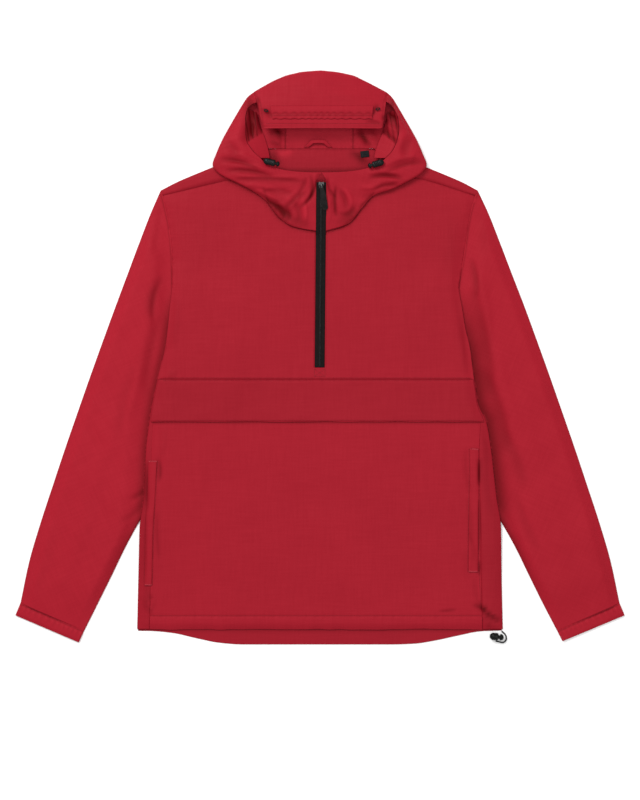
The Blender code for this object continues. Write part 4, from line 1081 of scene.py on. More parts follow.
@made_once
def woven_black(name, threads, colour, lighter, grain=0.0):
    """Black woven tape, label or elastic."""
    material, tree, shader = new_material(name)
    vector = object_vector(tree, grain)
    woven = weave(tree, vector, threads)
    fibres = stretched(tree, woven.outputs["Height"], -0.5, 0.5)
    mottled = math_node(tree, "MULTIPLY", fibres, noise(tree, vector, 260.0))
    tree.links.new(mixed_colour(tree, colour, lighter, mottled), shader.inputs["Base Color"])
    set_inputs(shader, {"Roughness": 0.78, "Specular IOR Level": 0.1, "Sheen Weight": 0.02})
    bump(tree, shader, [(woven.outputs["Height"], 0.6, 0.00025)])
    return material


@made_once
def moulded_black(name, colour, rough, gloss=0.3):
    """Black moulded plastic with a fine spark-eroded grain, rubbed smoother in patches."""
    material, tree, shader = new_material(name)
    vector = object_vector(tree, 0.0)
    rubbed = stretched(tree, noise(tree, vector, 130.0, 3.0), 0.35, 0.65)
    scuffed = tuple(channel * 2.2 + 0.004 for channel in colour)
    wear = math_node(tree, "MULTIPLY", rubbed, 0.45)
    tree.links.new(mixed_colour(tree, colour, scuffed, wear), shader.inputs["Base Color"])
    tree.links.new(stretched(tree, rubbed, 0, 1, rough, rough - 0.12), shader.inputs["Roughness"])
    shader.inputs["Specular IOR Level"].default_value = gloss
    bump(tree, shader, [(noise(tree, vector, 2600.0, 1.0), 0.25, 0.00008)])
    return material


@made_once
def painted_zinc(name):
    """Grey lacquered zinc, with the metal showing where it is rubbed."""
    trim = bpy.context.scene.anorak_trim
    material, tree, shader = new_material(name)
    vector = object_vector(tree, 0.0)
    rubbed = stretched(tree, noise(tree, vector, 420.0, 4.0), 0.56, 0.7)
    base = tuple(trim.slider_colour)
    bright = tuple(min(channel * 1.8, 1.0) for channel in base)
    tree.links.new(mixed_colour(tree, base, bright, rubbed), shader.inputs["Base Color"])
    tree.links.new(stretched(tree, rubbed, 0, 1, 0.55, 0.4), shader.inputs["Roughness"])
    shader.inputs["Metallic"].default_value = 0.35
    bump(tree, shader, [(noise(tree, vector, 1800.0, 1.0), 0.15, 0.00006)])
    return material


@made_once
def sewing_thread(name, colour):
    material, tree, shader = new_material(name)
    vector = object_vector(tree, 30.0)
    twist = stretched(tree, noise(tree, vector, 900.0, 1.0), 0.3, 0.7)
    pale = tuple(min(channel * 1.5 + 0.01, 1.0) for channel in colour)
    tree.links.new(mixed_colour(tree, colour, pale, twist), shader.inputs["Base Color"])
    set_inputs(shader, {"Roughness": 0.5, "Specular IOR Level": 0.15})
    bump(tree, shader, [(twist, 0.4, 0.0001)])
    return material


# ---------------------------------------------------------------- body pieces
def extra_levels(levels, around):
    """Levels with close lines added round a row of stitches."""
    return sorted(levels + [around - 2.6, around - 1.3, around, around + 1.3, around + 2.6])


def build_back_panel(cloth):
    rows = []
    tail = body_row(HEM_Y, "back_y", BACK_Z)
    rows.append([(x, along(TAIL, x), z) for x, y, z in tail])
    rows += [body_row(level, "back_y", BACK_Z) for level in LEVELS]
    inset = FOLD + WALL / 2 - SEAM
    for row in rows:
        if row[0][1] <= UNDERARM_Y:
            row[0] = (row[0][0] + inset, row[0][1], row[0][2])
            row[-1] = (row[-1][0] - inset, row[-1][1], row[-1][2])
    points = refine(rows, cloth.step * 1.5)
    shades = lay_folds(points, back_relief)
    bm = close_grid(points, shades)
    layer = bm.verts.layers.float["shade"]

    def is_side(edge):
        a, b = (vert.co / MM for vert in edge.verts)
        level = all(HEM_Y - 0.1 < p.y < UNDERARM_Y + 0.1 for p in (a, b))
        return level and min(abs(a.x), abs(b.x)) > 150 and abs(a.y - b.y) > 0.3

    def outward(p):
        return -1 if p.x < 0 else 1

    def seam_of(p):
        side = side_of(p.x)
        if p.y > FLAP_TOP_Y - 3:
            return side_x(side + "_edge", p.y) - outward(p) * 2.0
        return side_x(side + "_seam", p.y) - outward(p) * 0.5

    def round_side(angle, rise):
        """One line of the pressed side fold, turned through angle; rise opens it upwards."""
        turn = math.radians(angle)
        sideways = FOLD * 1.3 * (math.sin(turn) - math.sin(turn - math.radians(45)))
        return lambda p: (p.x + outward(p) * sideways, min(p.y, UNDERARM_Y - GAP), p.z + rise)

    def onto_front(fraction):
        def step(p):
            x = mix(p.x, seam_of(p), fraction)
            spot = np.array([x]), np.array([p.y])
            side = side_of(x)
            edge = side_x(side + "_edge", p.y)
            over = float(puff(*spot)[0]) + 0.5 * float(fold_relief(*spot, FRONT_FOLDS)[0][0])
            top = FRONT_Z + lift(edge, p.y) + over
            under = 0.9 * fraction if p.y > FLAP_TOP_Y - 3 else 0.55 * (fraction == 1.0)
            return (x, p.y, max(top, p.z) - under)
        return step

    fold_over(bm, is_side, [round_side(angle, FOLD / 2) for angle in (45, 90, 135, 180)]
              + [onto_front(f) for f in (0.22, 0.28, 0.39, 0.64, 1.0)])

    def is_shoulder(edge):
        a, b = (vert.co / MM for vert in edge.verts)
        return (min(a.y, b.y) > SHOULDER_Y - 1 and min(abs(a.x), abs(b.x)) > 87
                and a.z < 1.6 and edge.is_boundary and abs(a.x - b.x) > 0.2)

    def shoulder_seam(x):
        side = side_of(x)
        columns = sorted((abs(c.x), c.front_y) for c in COLUMNS[side][:5])
        return along(columns, abs(x))

    def on_armhole(x, y, z):
        side = side_of(x)
        limit = abs(armhole_x(side, y)) - SEAM
        return (max(-limit, min(limit, x)), y, z)

    def to_seam(fraction):
        def step(p):
            x, y, z = on_armhole(p.x, mix(p.y, shoulder_seam(p.x) + SEAM, fraction), p.z)
            over = float(puff(np.array([x]), np.array([y]))[0])
            return (x, y - 0.6 * (fraction == 1.0), FRONT_Z + over - 0.5 * (fraction == 1.0))
        return step

    def round_shoulder(part):
        return lambda p: (p.x, p.y + FOLD / part, p.z + FOLD / 2)

    fold_over(bm, is_shoulder, [round_shoulder(part) for part in (3, 6, -6, -3)]
              + [to_seam(f) for f in (0.3, 0.5, 1.0)])
    # painted shade: where the back folds over onto the front it takes the front's fold shade
    for vert in bm.verts:
        p = vert.co / MM
        spot = np.array([p.x]), np.array([p.y])
        if p.z > 1.4 and (p.y < UNDERARM_Y or p.y > 240) and abs(p.x) > 87:
            vert[layer] = float(fold_relief(*spot, FRONT_FOLDS)[1][0])
    cloth_piece("back_panel", bm, nylon("nylon_back", 0, 0.96))


def cut_faces(bm, unwanted):
    faces = [face for face in bm.faces if unwanted(face.calc_center_median() / MM)]
    bmesh.ops.delete(bm, geom=faces, context="FACES")


def build_front_chest(cloth):
    levels = extra_levels([y for y in LEVELS if y >= FLAP_TOP_Y], FLAP_TOP_Y + 4.0)
    levels = [y for y in levels if y >= FLAP_TOP_Y]
    points = refine([body_row(y, "front_y", FRONT_Z) for y in levels], cloth.step)
    shades = lay_folds(points, front_relief)
    bm = close_grid(points, shades)

    def cut_away(centre):
        return abs(centre.x - zip_x(centre.y)) < ZIP_HALF and centre.y > ZIP_BOTTOM_Y

    cut_faces(bm, cut_away)
    cloth_piece("front_chest", bm, nylon("nylon_front"))


def build_front_lower(cloth):
    levels = extra_levels([y for y in LEVELS if y <= POCKET_TOP_Y and y != HEM_STITCH_Y],
                          HEM_STITCH_Y)
    points = refine([body_row(y, "front_y", FRONT_Z, first=1) for y in levels], cloth.step)
    shades = lay_folds(points, front_relief)
    x, y = points[..., 0], points[..., 1]
    tunnel = ease(HEM_STITCH_Y - 1, HEM_STITCH_Y - 5, y) * ease(HEM_Y, HEM_Y + 3, y)
    points[..., 2] += 0.8 * tunnel
    hem = ease(HEM_Y + 12, HEM_Y, y)
    points[..., 1] += hem * (0.9 * ripple(x, x * 0, 15, 90) + 0.3 * ripple(x, x * 0, 16, 26))
    # painted shadow on the lower front under the flap's edge
    flap_shadow = ease(FLAP_BOTTOM_Y - 5.5, FLAP_BOTTOM_Y - 0.5, y)
    shades = np.clip(shades + 0.4 * flap_shadow * (1 + 0.3 * ripple(x, x * 0, 17, 70)),
                     *SHADE_RANGE)
    cloth_piece("front_lower", close_grid(points, shades), nylon("nylon_lower", 0, 1.04))


def build_chest_flap(cloth):
    rows = []
    for y in (FLAP_TOP_Y - GAP, FLAP_TOP_Y - 4, FLAP_TOP_Y - 11, -56, -70, FLAP_BOTTOM_Y + 3,
              FLAP_BOTTOM_Y):
        on_seam = y > FLAP_TOP_Y - 1
        row = body_row(y, "front_y", FRONT_Z + (0 if on_seam else ON_TOP), first=1)
        for end, side in ((0, "right"), (-1, "left")):
            x = mix(side_x(side + "_seam", y), side_x(side + "_edge", y), 0.6)
            row[end] = (x, y, FRONT_Z + ON_TOP + lift(x, y))
        rows.append(row)
    points = refine(rows, cloth.step)
    shades = lay_folds(points, front_relief)
    x, y = points[..., 0], points[..., 1]
    loose = ease(-60, FLAP_BOTTOM_Y, y)
    points[..., 2] += loose * (0.9 + 0.5 * ripple(x, x * 0, 21, 120))
    points[..., 1] += ease(-80, FLAP_BOTTOM_Y, y) * 0.5 * ripple(x, x * 0, 22, 60)
    rolled = ease(FLAP_BOTTOM_Y + 2.2, FLAP_BOTTOM_Y, y)
    points[..., 2] -= 0.9 * rolled
    cloth_piece("chest_flap", close_grid(points, shades), nylon("nylon_flap", 0, 0.94))


def front_height(x, y):
    """Middle surface of the front at a point, before its folds."""
    above = min(level for level in LEVELS if level >= y)
    below = max(level for level in LEVELS if level <= y)
    heights = [along([(p[0], p[2]) for p in body_row(level, "front_y", FRONT_Z)], x)
               for level in (below, above)]
    return mix(*heights, (y - below) / max(above - below, 1))


def build_pocket_welts(cloth):
    for side, table in WELTS.items():
        rows = []
        for welt in table:
            xs = [welt.x + offset * welt.width for offset in (-0.5, -0.42, 0.0, 0.42, 0.5)]
            drop = [0.7, 0.0, 0.0, 0.0, 0.7]
            rows.append([(x, welt.y, front_height(x, welt.y) + ON_TOP - d)
                         for x, d in zip(xs, drop)])
        points = refine(rows, cloth.step * 0.7)
        shades = lay_folds(points, front_relief)
        x, y = points[..., 0], points[..., 1]
        points[..., 2] += 0.35 * ripple(x * 3, y, 31, 40)
        cloth_piece("pocket_welt_" + side, close_grid(points, shades),
                    nylon("nylon_lower", 0, 1.04))


# ---------------------------------------------------------------- sleeves and cuffs
def sleeve_relief(side):
    edge = [(side_x(side + "_edge", y), y) for y in (-430, -345, -255, -210, -136, -96, -70,
                                                      -32.4, 15, 45, UNDERARM_Y)]
    edge += [(getattr(row, side), row.y) for row in ARMHOLES]

    def relief(x, y):
        body, place = beside(edge, x, y)
        outside = np.where(np.abs(x) > np.abs(np.interp(y, [p[1] for p in edge],
                                                        [p[0] for p in edge])), 1.0, 0.0)
        outer, _ = beside(SLEEVE_OUTER[side] + [CUFF_END[side][0]], x, y)
        inner, _ = beside(SLEEVE_INNER[side] + [CUFF_END[side][1]], x, y)
        near_edges = ease(0, 20, outer) * ease(0, 18, inner)
        valley = ease(0, 34, body) * outside
        full = 6.5 * near_edges * valley * ease(-420, -330, y) * ease(262, 190, y)
        height, shade = fold_relief(x, y, SLEEVE_FOLDS[side])
        waves = 0.6 * ripple(x, y, 41 if side == "right" else 42, 90)
        waves = waves + 0.22 * ripple(x, y, 43, 30)
        live = near_edges * outside * ease(0, 10, body)
        below = ease(112, 40, y) * ease(-262, -215, y)
        # painted shade on the sleeve beside the body's edge, and a painted dark line along the
        # armhole
        deep, wide = (0.62, 9.0) if side == "right" else (0.82, 15.0)
        lowest = ease(100, -20, y) if side == "left" else 1.0
        shade_by_body = deep * bell(body, wide) * outside * below * (0.45 + 0.55 * lowest)
        shade_by_body = shade_by_body + 0.45 * bell(body, 1.8) * outside * ease(90, 130, y)
        # painted shade along the sleeve's outer fold and along its lower inner edge
        rim = 0.08 * bell(outer, 3.0)
        rim = rim + deep * 0.75 * bell(inner, 7.0) * ease(-405, -262, y) * ease(-225, -250, y)
        return full + (height + waves) * live, shade * outside + shade_by_body + rim

    return relief


def lay_upper(points, relief, middle):
    """Lay folds on the upper layer of a pressed tube whose fold is at the middle height."""
    upper = ease(middle - 0.2, middle + 0.8, points[..., 2])
    return lay_folds(points, relief, upper)


def cuff_lines(side):
    outer = Vector(SLEEVE_OUTER[side][-1])
    inner = Vector(SLEEVE_INNER[side][-1])
    return outer, inner, Vector(CUFF_END[side][0]), Vector(CUFF_END[side][1])


def build_sleeves(cloth):
    for side, grain in (("right", -23.0), ("left", 23.0)):
        outward = -1 if side == "right" else 1
        outer_path = SLEEVE_OUTER[side]
        inner_path = SLEEVE_INNER[side]
        seam = [Vector((getattr(row, side), row.y)) for row in reversed(ARMHOLES)]
        seam += [Vector(UNDERARM_BEND[side]), Vector(inner_path[0])]
        start = Vector(outer_path[0])
        end = Vector(inner_path[0])
        chord = end - start
        at_seam = [(p - start).dot(chord) / chord.length_squared for p in seam]
        bends = [p - start.lerp(end, f) for p, f in zip(seam, at_seam)]
        rows = []
        for ring in range(SLEEVE_RINGS + 1):
            s = (ring / SLEEVE_RINGS) ** 1.15
            outer = path_point(outer_path, s)
            inner = path_point(inner_path, s)
            spread = min(s / 0.3, 1.0)
            fractions = [mix(f, i / (len(seam) - 1), spread) for i, f in enumerate(at_seam)]
            fade = max(1 - s / 0.4, 0.0) ** 2
            shift = Vector((-outward * 1.0, 0)) * (1 if ring == 0 else 0)
            bend = [b * fade + shift for b in bends]
            points = layer_line(outer, inner, fractions, bend, WALL, SLEEVE_CLEAR)
            row = flat_ring(outer, inner, points, WALL, SLEEVE_CLEAR)
            rows.append(row + row[:1])
        points = refine(rows, cloth.step * 1.15)
        shades = lay_upper(points, sleeve_relief(side), BACK_Z + 0.9)
        bm = close_grid(points, shades, closed=True)
        cloth_piece("sleeve_" + side, bm, nylon("nylon_sleeve_" + side, grain, 1.11))


def build_cuffs(cloth):
    for side, grain in (("right", -23.0), ("left", 23.0)):
        outer, inner, end_outer, end_inner = cuff_lines(side)
        inset = -0.5 / (end_outer - outer).length
        rows = []
        for t in (inset, 0.12, 0.24, 0.55, 0.85, 1.0):
            a = outer.lerp(end_outer, t)
            b = inner.lerp(end_inner, t)
            points = layer_line(a, b, [i / 6 for i in range(7)], [(0, 0)] * 7, CUFF_WALL,
                                CUFF_CLEAR)
            row = flat_ring(a, b, points, CUFF_WALL, CUFF_CLEAR)
            rows.append(row + row[:1])
        points = refine(rows, cloth.step * 0.6)

        def relief(x, y):
            away, place = beside([tuple(outer), tuple(inner)], x, y)
            pull = 0.8 * np.exp(-(away - 6) ** 2 / 30)
            gather = np.sin(place * math.tau / 8.5 + 2 * np.sin(place / 13.0))
            groove = bell(away - 2.6, 1.4)
            roll = 1.4 * ease(1, 7, away) * ease(21, 15, away)
            # painted shade in the stitch groove, and painted light and shade across the gathers
            shade = 0.12 * groove - 0.06 * gather * pull
            return roll + 0.45 * pull * gather - 0.5 * groove, shade

        shades = lay_upper(points, relief, 0.7 + 0.8)
        bm = close_grid(points, shades, closed=True)
        cloth_piece("cuff_" + side, bm, nylon("nylon_sleeve_" + side, grain, 1.11))


# ---------------------------------------------------------------- hood and collar
UPPER_SHARE = [0.0] * len(BOTTOM_STEPS) + [0.1, 0.4, 0.7] + [1.0] * len(TOP_STEPS)


def upright_seam(x, y, upper):
    """Move the lower layer sideways, so that the centre panel's seams rise straight up."""
    away = np.abs(x)
    foot = np.where(x < 0, 52.0, 49.5)
    seam = np.interp(y, [NECK_BACK_Y, 398], [0.0, 1.0]) * (99.5 - foot) + foot
    wanted = foot + (seam - foot) * ease(347, 388, y)
    rim = 122.0
    inner = away * wanted / seam
    outer = wanted + (away - seam) * (rim - wanted) / (rim - seam)
    moved = np.where(away < seam, inner, np.where(away < rim, outer, away))
    share = ease(0.08, 0.0, upper) * (y > NECK_BACK_Y + 0.01)
    return np.sign(x) * mix(away, moved, share)


def brim_drop(x, y):
    """How far the brim's rolled edge sags towards the neck."""
    return 4.6 * ease(402, 350, y) * ease(104, 88, np.abs(x)) * ease(300, 330, y)


def hood_piece(node, rows, cloth, material):
    """A hood panel: its lower layer takes the inside folds, and its upper layer the others."""
    shared = [[(*p, share) for p, share in zip(row, UPPER_SHARE)] for row in rows]
    for row in shared:
        if NECK_BACK_Y < row[0][1] < NECK_BACK_Y + 4:
            row[0] = (row[0][0], NECK_BACK_Y + 0.05, *row[0][2:])
    grid = refine(shared, cloth.step * 0.8)
    points = grid[..., :3]
    upper = grid[..., 3]
    points[..., 0] = upright_seam(points[..., 0], points[..., 1], upper)
    top_height, top_shade = hood_relief(points[..., 0], points[..., 1])
    low_height, low_shade = inside_relief(points[..., 0], points[..., 1])
    points[..., 2] += top_height * upper + low_height * ease(0.3, 0.0, upper)
    points[..., 1] -= brim_drop(points[..., 0], points[..., 1]) * upper
    shades = np.clip(top_shade * upper + low_shade * (1 - upper), *SHADE_RANGE)
    cloth_piece(node, close_grid(points, shades), material)


def build_hood_sides(cloth):
    for side, grain in (("right", -18.0), ("left", 18.0)):
        rows = hood_side_rows(side)
        inward = 0.55 if side == "right" else -0.55
        rows[0] = [(x + inward, y, z) for x, y, z in rows[0]]
        hood_piece("hood_side_" + side, rows, cloth, nylon("nylon_hood_" + side, grain, 1.05))


def build_hood_centre(cloth):
    rows = [centre_section(i / (2 * CENTRE_COLUMNS)) for i in range(2 * CENTRE_COLUMNS + 1)]
    hood_piece("hood_centre", rows, cloth, nylon("nylon_crown", 0.0, 1.03))


def brim_point(t, y, lifted):
    """Point over the brim at fraction t across and height y, moved up by lifted."""
    top = centre_section(t)[len(BOTTOM_STEPS) + len(FOLD_ANGLES):]
    heights = sorted((p[1], p[2]) for p in top)
    across = sorted((p[1], p[0]) for p in top)
    return (along(across, y), y, along(heights, y) + lifted)


def build_brim_channel(cloth):
    columns = [0.092] + [i / 20 for i in range(2, 19)] + [0.905]
    edges = (CHANNEL_LOW_Y, CHANNEL_TOP_Y)
    rows = [[brim_point(t, y, ON_TOP + 0.2 - (0.8 if y in edges else 0)) for t in columns]
            for y in (CHANNEL_LOW_Y, 360.0, 363.0, 365.0, CHANNEL_PUCKER_Y, 367.5, 372.0, 375.6,
                      CHANNEL_TOP_Y)]
    points = refine(rows, cloth.step * 0.55)
    x, y = points[..., 0], points[..., 1]
    waves = 0.5 * ripple(x, y, 7, 70) + 0.28 * ripple(x, y, 8, 22)
    along_x = np.sin(x * math.tau / 11.0 + 2.2 * np.sin(x / 17.0))
    middle = bell(y - CHANNEL_PUCKER_Y - 0.7 * along_x, 1.1)
    points[..., 2] += waves - 1.0 * middle + 0.35 * along_x * bell(y - 362.5, 2.5)
    points[..., 2] += 0.5 * bell(y - 371.5, 3.0)
    points[..., 1] += 0.5 * along_x * ease(362, CHANNEL_LOW_Y, y) - brim_drop(x, y)
    # painted shade: dark lines along the channel's two edges and in its middle pucker
    top_line = bell(y - 375.3, 0.9)
    low_line = bell(y - 359.4, 1.0)
    shades = 0.5 * middle * (0.7 + 0.3 * along_x) + 0.22 * top_line + 0.35 * low_line
    cloth_piece("brim_channel", close_grid(points, shades), nylon("nylon_crown", 0, 1.03))


# Where each facing's smooth foot ends, and how dark its creased upper part is painted, as painted
# shade.
FACING_TOPS = {"right": ((-108, 319), (-86, 334), 0.36), "left": ((113, 316), (92, 336), 0.2)}


def build_edge_facings(cloth):
    for side, table in FACINGS.items():
        sections = hood_side_rows(side)
        rows = []
        for facing in table:
            edge = Vector(sections[facing.row][-1])
            inner = Vector((facing.x, facing.y, facing.z))
            start = edge + (inner - edge).normalized() * (GAP + SEAM)
            rows.append([start.lerp(inner, s) for s in (0.0, 0.12, 0.35, 0.7, 1.0)])
        points = refine(rows, cloth.step * 0.7)
        x, y = points[..., 0], points[..., 1]
        points[..., 2] += 0.3 * ripple(x, y, 51, 40)
        across = np.linspace(0, 1, points.shape[1])[None, :] * np.ones(x.shape)
        (ax, ay), (bx, by), depth = FACING_TOPS[side]
        above = y - (ay + (x - ax) * (by - ay) / (bx - ax))
        height, dark = fold_relief(x, y, HOOD_FOLDS)
        notch = ease(0, 4, above)
        points[..., 2] += 0.7 * height * notch
        crease = np.maximum(np.sin((x + 0.16 * (y - 350)) * math.tau / 7.0), 0) ** 1.5
        points[..., 2] -= 0.8 * notch * crease
        # painted shade: darker next to the opening's edge and over the creased notch above the
        # foot
        shades = 0.14 * ease(0.2, 0.0, across) + notch * (depth + 0.5 * dark + 0.5 * crease)
        shades = np.clip(shades, -0.2, 1.0)
        cloth_piece("edge_facing_" + side, close_grid(points, shades),
                    nylon("nylon_hood_" + side, 0, 1.05))


# ---------------------------------------------------------------- neck pieces
def build_hanging_loop(cloth):
    """A folded strip sewn down at both feet, its middle standing up a little."""
    foot = NECK_BACK_Y + 2
    outer = [(-24, foot), (-18.0, 320.6), (-12.2, 325.4), (-3, 326.0), (7.2, 325.4), (12.8, 320.4),
             (18.6, foot)]
    inner = [(-17.5, foot), (-13.2, 318.2), (-9.5, 320.8), (-2.5, 321.2), (4.5, 320.8),
             (8.4, 318.0), (12.5, foot)]
    rows = []
    for s in (0.0, 0.12, 0.5, 0.88, 1.0):
        row = []
        for index, (a, b) in enumerate(zip(outer, inner)):
            arch = math.sin(math.pi * index / (len(outer) - 1))
            edge = -0.5 if s in (0.0, 1.0) else 0.0
            row.append((mix(a[0], b[0], s), mix(a[1], b[1], s), 2.3 + 3.2 * arch + edge))
        rows.append(row)
    points = refine(rows, 0.8)
    x, y = points[..., 0], points[..., 1]
    across = np.linspace(0, 1, points.shape[0])[:, None] * np.ones(x.shape)
    # painted shade along the loop's two long edges, most at the inner one
    shades = 0.42 * ease(0.75, 1.0, across) + 0.25 * ease(0.12, 0.0, across)
    points[..., 2] += 0.15 * ripple(x, y, 61, 7)
    cloth_piece("hanging_loop", close_grid(points, shades), nylon("nylon_crown", 0, 1.03), 1.1)


def build_neck_label():
    """Blank woven label with a turned edge and a sewn border."""
    rows = []
    corners = [(61.5, 299.6), (74, 301.2), (72.8, 310.6), (60.3, 309)]
    low_left, low_right, top_right, top_left = (Vector(c) for c in corners)
    for v in (0.0, 0.1, 0.5, 0.9, 1.0):
        row = []
        for u in (0.0, 0.08, 0.5, 0.92, 1.0):
            spot = low_left.lerp(low_right, u).lerp(top_left.lerp(top_right, u), v)
            border = 0.35 if min(u, v, 1 - u, 1 - v) < 0.01 else 0.0
            row.append((spot.x, spot.y, 2.5 - border))
        rows.append(row)
    points = refine(rows, 0.6)
    points[..., 2] += 0.25 * ripple(points[..., 0], points[..., 1], 71, 9)
    label = woven_black("label_weave", 2600.0, (0.004, 0.004, 0.0045), (0.02, 0.02, 0.022), 7.0)
    cloth_piece("neck_label", close_grid(points, points[..., 2] * 0), label, 0.5)


# ---------------------------------------------------------------- zip
def tape_height(y):
    """Middle surface of the tape with the puff of the chest under it."""
    over = float(puff(np.array([zip_x(y) - ZIP_HALF - 3]), np.array([float(y)]))[0])
    return zip_height(y) + over


def build_zip_tape():
    offsets = (-1, -0.93, -0.5, -0.17, -0.12, 0.12, 0.17, 0.5, 0.93, 1)
    raised = (-0.25, 0, 0, 0.05, 0.55, 0.55, 0.05, 0, 0, -0.25)
    stations = [ZIP_BOTTOM_Y + SEAM, 0, 20, 40, 70, 100, 125, 150, 168, 178, 183, 188, 193, 200,
                207, 215, 222, 230, 238, 245, 253, ZIP_TOP_Y]
    rows = []
    for y in stations:
        widen = 1 + 0.1 * math.exp(-((y - 219) / 9) ** 2)
        rows.append([(zip_x(y) + o * ZIP_HALF * (widen if o > 0 else 1), y, tape_height(y) + z)
                     for o, z in zip(offsets, raised)])
    points = refine(rows, 1.6)
    tape = woven_black("zip_tape_weave", 1600.0, (0.003, 0.0018, 0.0017), (0.011, 0.008, 0.008))
    cloth_piece("zip_tape", close_grid(points, points[..., 0] * 0), tape, 0.6)
    build_zip_coil()


def small_block(bm, spot, heading, size):
    turn = Matrix.Rotation(heading, 4, "Z")
    scale = Matrix.Diagonal((size[0], size[1], size[2], 1 / MM)) * MM
    bmesh.ops.create_cube(bm, size=1, matrix=Matrix.Translation(Vector(spot) * MM) @ turn @ scale)


def build_zip_coil():
    """Closed coil under the tape's middle rib: slanted wires, one after another."""
    trim = bpy.context.scene.anorak_trim
    bm = bmesh.new()
    y = ZIP_BOTTOM_Y + 3
    while y < SLIDER_Y - 4:
        for side in (-1, 1):
            spot = (zip_x(y) + side * 0.62, y + side * 0.15, tape_height(y) + 0.95)
            small_block(bm, spot, side * 0.55, (1.5, 0.62, 0.5))
        y += trim.coil_pitch
    piece = mesh_piece("zip_coil", bm, moulded_black("coil_nylon", (0.006, 0.006, 0.006), 0.42))


def rounded_plate(outline, low, high, rounding, hole=None):
    """Upright plate over an outline, with rounded edges."""
    bm = bmesh.new()
    for loop in [outline] + ([hole] if hole else []):
        verts = [bm.verts.new((x * MM, y * MM, low * MM)) for x, y in loop]
        for a, b in zip(verts, verts[1:] + verts[:1]):
            bm.edges.new((a, b))
    bmesh.ops.triangle_fill(bm, use_beauty=True, use_dissolve=True, edges=bm.edges[:])
    made = bmesh.ops.extrude_face_region(bm, geom=bm.faces[:])["geom"]
    top = [item for item in made if isinstance(item, bmesh.types.BMVert)]
    bmesh.ops.translate(bm, verts=top, vec=(0, 0, (high - low) * MM))
    bmesh.ops.recalc_face_normals(bm, faces=bm.faces)
    sharp = [e for e in bm.edges if len(e.link_faces) == 2 and e.calc_face_angle() > 0.35]
    bmesh.ops.bevel(bm, geom=sharp, offset=rounding * MM, affect="EDGES", segments=3,
                    profile=0.5, material=-1, clamp_overlap=True)
    return bm


def placed(bm, place, turn):
    bmesh.ops.transform(bm, verts=bm.verts, matrix=Matrix.Translation(place * MM) @ turn)
    return bm


def joined(parts):
    """One bmesh of several."""
    whole = bmesh.new()
    for part in parts:
        mesh = bpy.data.meshes.new("part")
        part.to_mesh(mesh)
        part.free()
        whole.from_mesh(mesh)
        bpy.data.meshes.remove(mesh)
    return whole


def build_zip_slider():
    width, length, height = SLIDER_SIZE
    outline = [(-width * 0.36, -length / 2), (width * 0.36, -length / 2),
               (width / 2, length * 0.1), (width * 0.42, length / 2), (0.8, length * 0.42),
               (-0.8, length * 0.42), (-width * 0.42, length / 2), (-width / 2, length * 0.1)]
    plate = rounded_plate(outline, 0, height, 0.55)
    arch = [(-3.2, 0), (-2.9, 1.9), (-2.0, 3.0), (2.0, 3.0), (2.9, 1.9), (3.2, 0), (2.15, 0),
            (1.95, 1.6), (1.4, 2.15), (-1.4, 2.15), (-1.95, 1.6), (-2.15, 0)]
    bridge = rounded_plate(arch, -BRIDGE_WIDTH / 2, BRIDGE_WIDTH / 2, 0.25)
    upright = Matrix.Rotation(math.pi / 2, 4, "Z") @ Matrix.Rotation(math.pi / 2, 4, "X")
    bmesh.ops.transform(bridge, verts=bridge.verts,
                        matrix=Matrix.Translation((0, 0, (height - 0.3) * MM)) @ upright)
    tilt = Matrix.Rotation(zip_tilt(SLIDER_Y), 4, "X")
    bm = placed(joined([plate, bridge]), slider_foot(), tilt)
    piece = mesh_piece("zip_slider_body", bm, painted_zinc("lacquered_zinc"))
    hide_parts("zip_slider")


def build_zip_pull():
    """Moulded tab: a thin plate with a window, rounded edges and cross ribs for grip."""
    half_top = 3.2
    half_end = 4.5
    outline = [(-half_top, 0.6), (half_top, 0.6), (half_top, -6.5), (half_end, -15),
               (half_end, -PULL_LENGTH + 3.4), (half_end - 1.2, -PULL_LENGTH + 0.9),
               (half_end - 3, -PULL_LENGTH), (-half_end + 3, -PULL_LENGTH),
               (-half_end + 1.2, -PULL_LENGTH + 0.9), (-half_end, -PULL_LENGTH + 3.4),
               (-half_end, -15), (-half_top, -6.5)]
    window = [(-1.75, -0.6), (-1.75, -4.6), (1.75, -4.6), (1.75, -0.6)]
    parts = [rounded_plate(outline, -PULL_WALL / 2, PULL_WALL / 2, 0.3, window)]
    for rib in range(9):
        bar = bmesh.new()
        small_block(bar, (0, -14.5 - rib * 2.3, PULL_WALL / 2), 0, (6.0, 0.9, 0.5))
        bmesh.ops.bevel(bar, geom=bar.edges[:], offset=0.15 * MM, affect="EDGES", segments=2,
                        profile=0.5, material=-1)
        parts.append(bar)
    turn = (Matrix.Rotation(math.radians(PULL_SWING), 4, "Z")
            @ Matrix.Rotation(math.radians(PULL_DROP), 4, "X"))
    bm = placed(joined(parts), pull_axis(), turn)
    rubber = moulded_black("pull_rubber", (0.0035, 0.0024, 0.0022), 0.72, 0.16)
    piece = mesh_piece("zip_pull_tab", bm, rubber, "zip_pull")
    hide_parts("zip_pull")


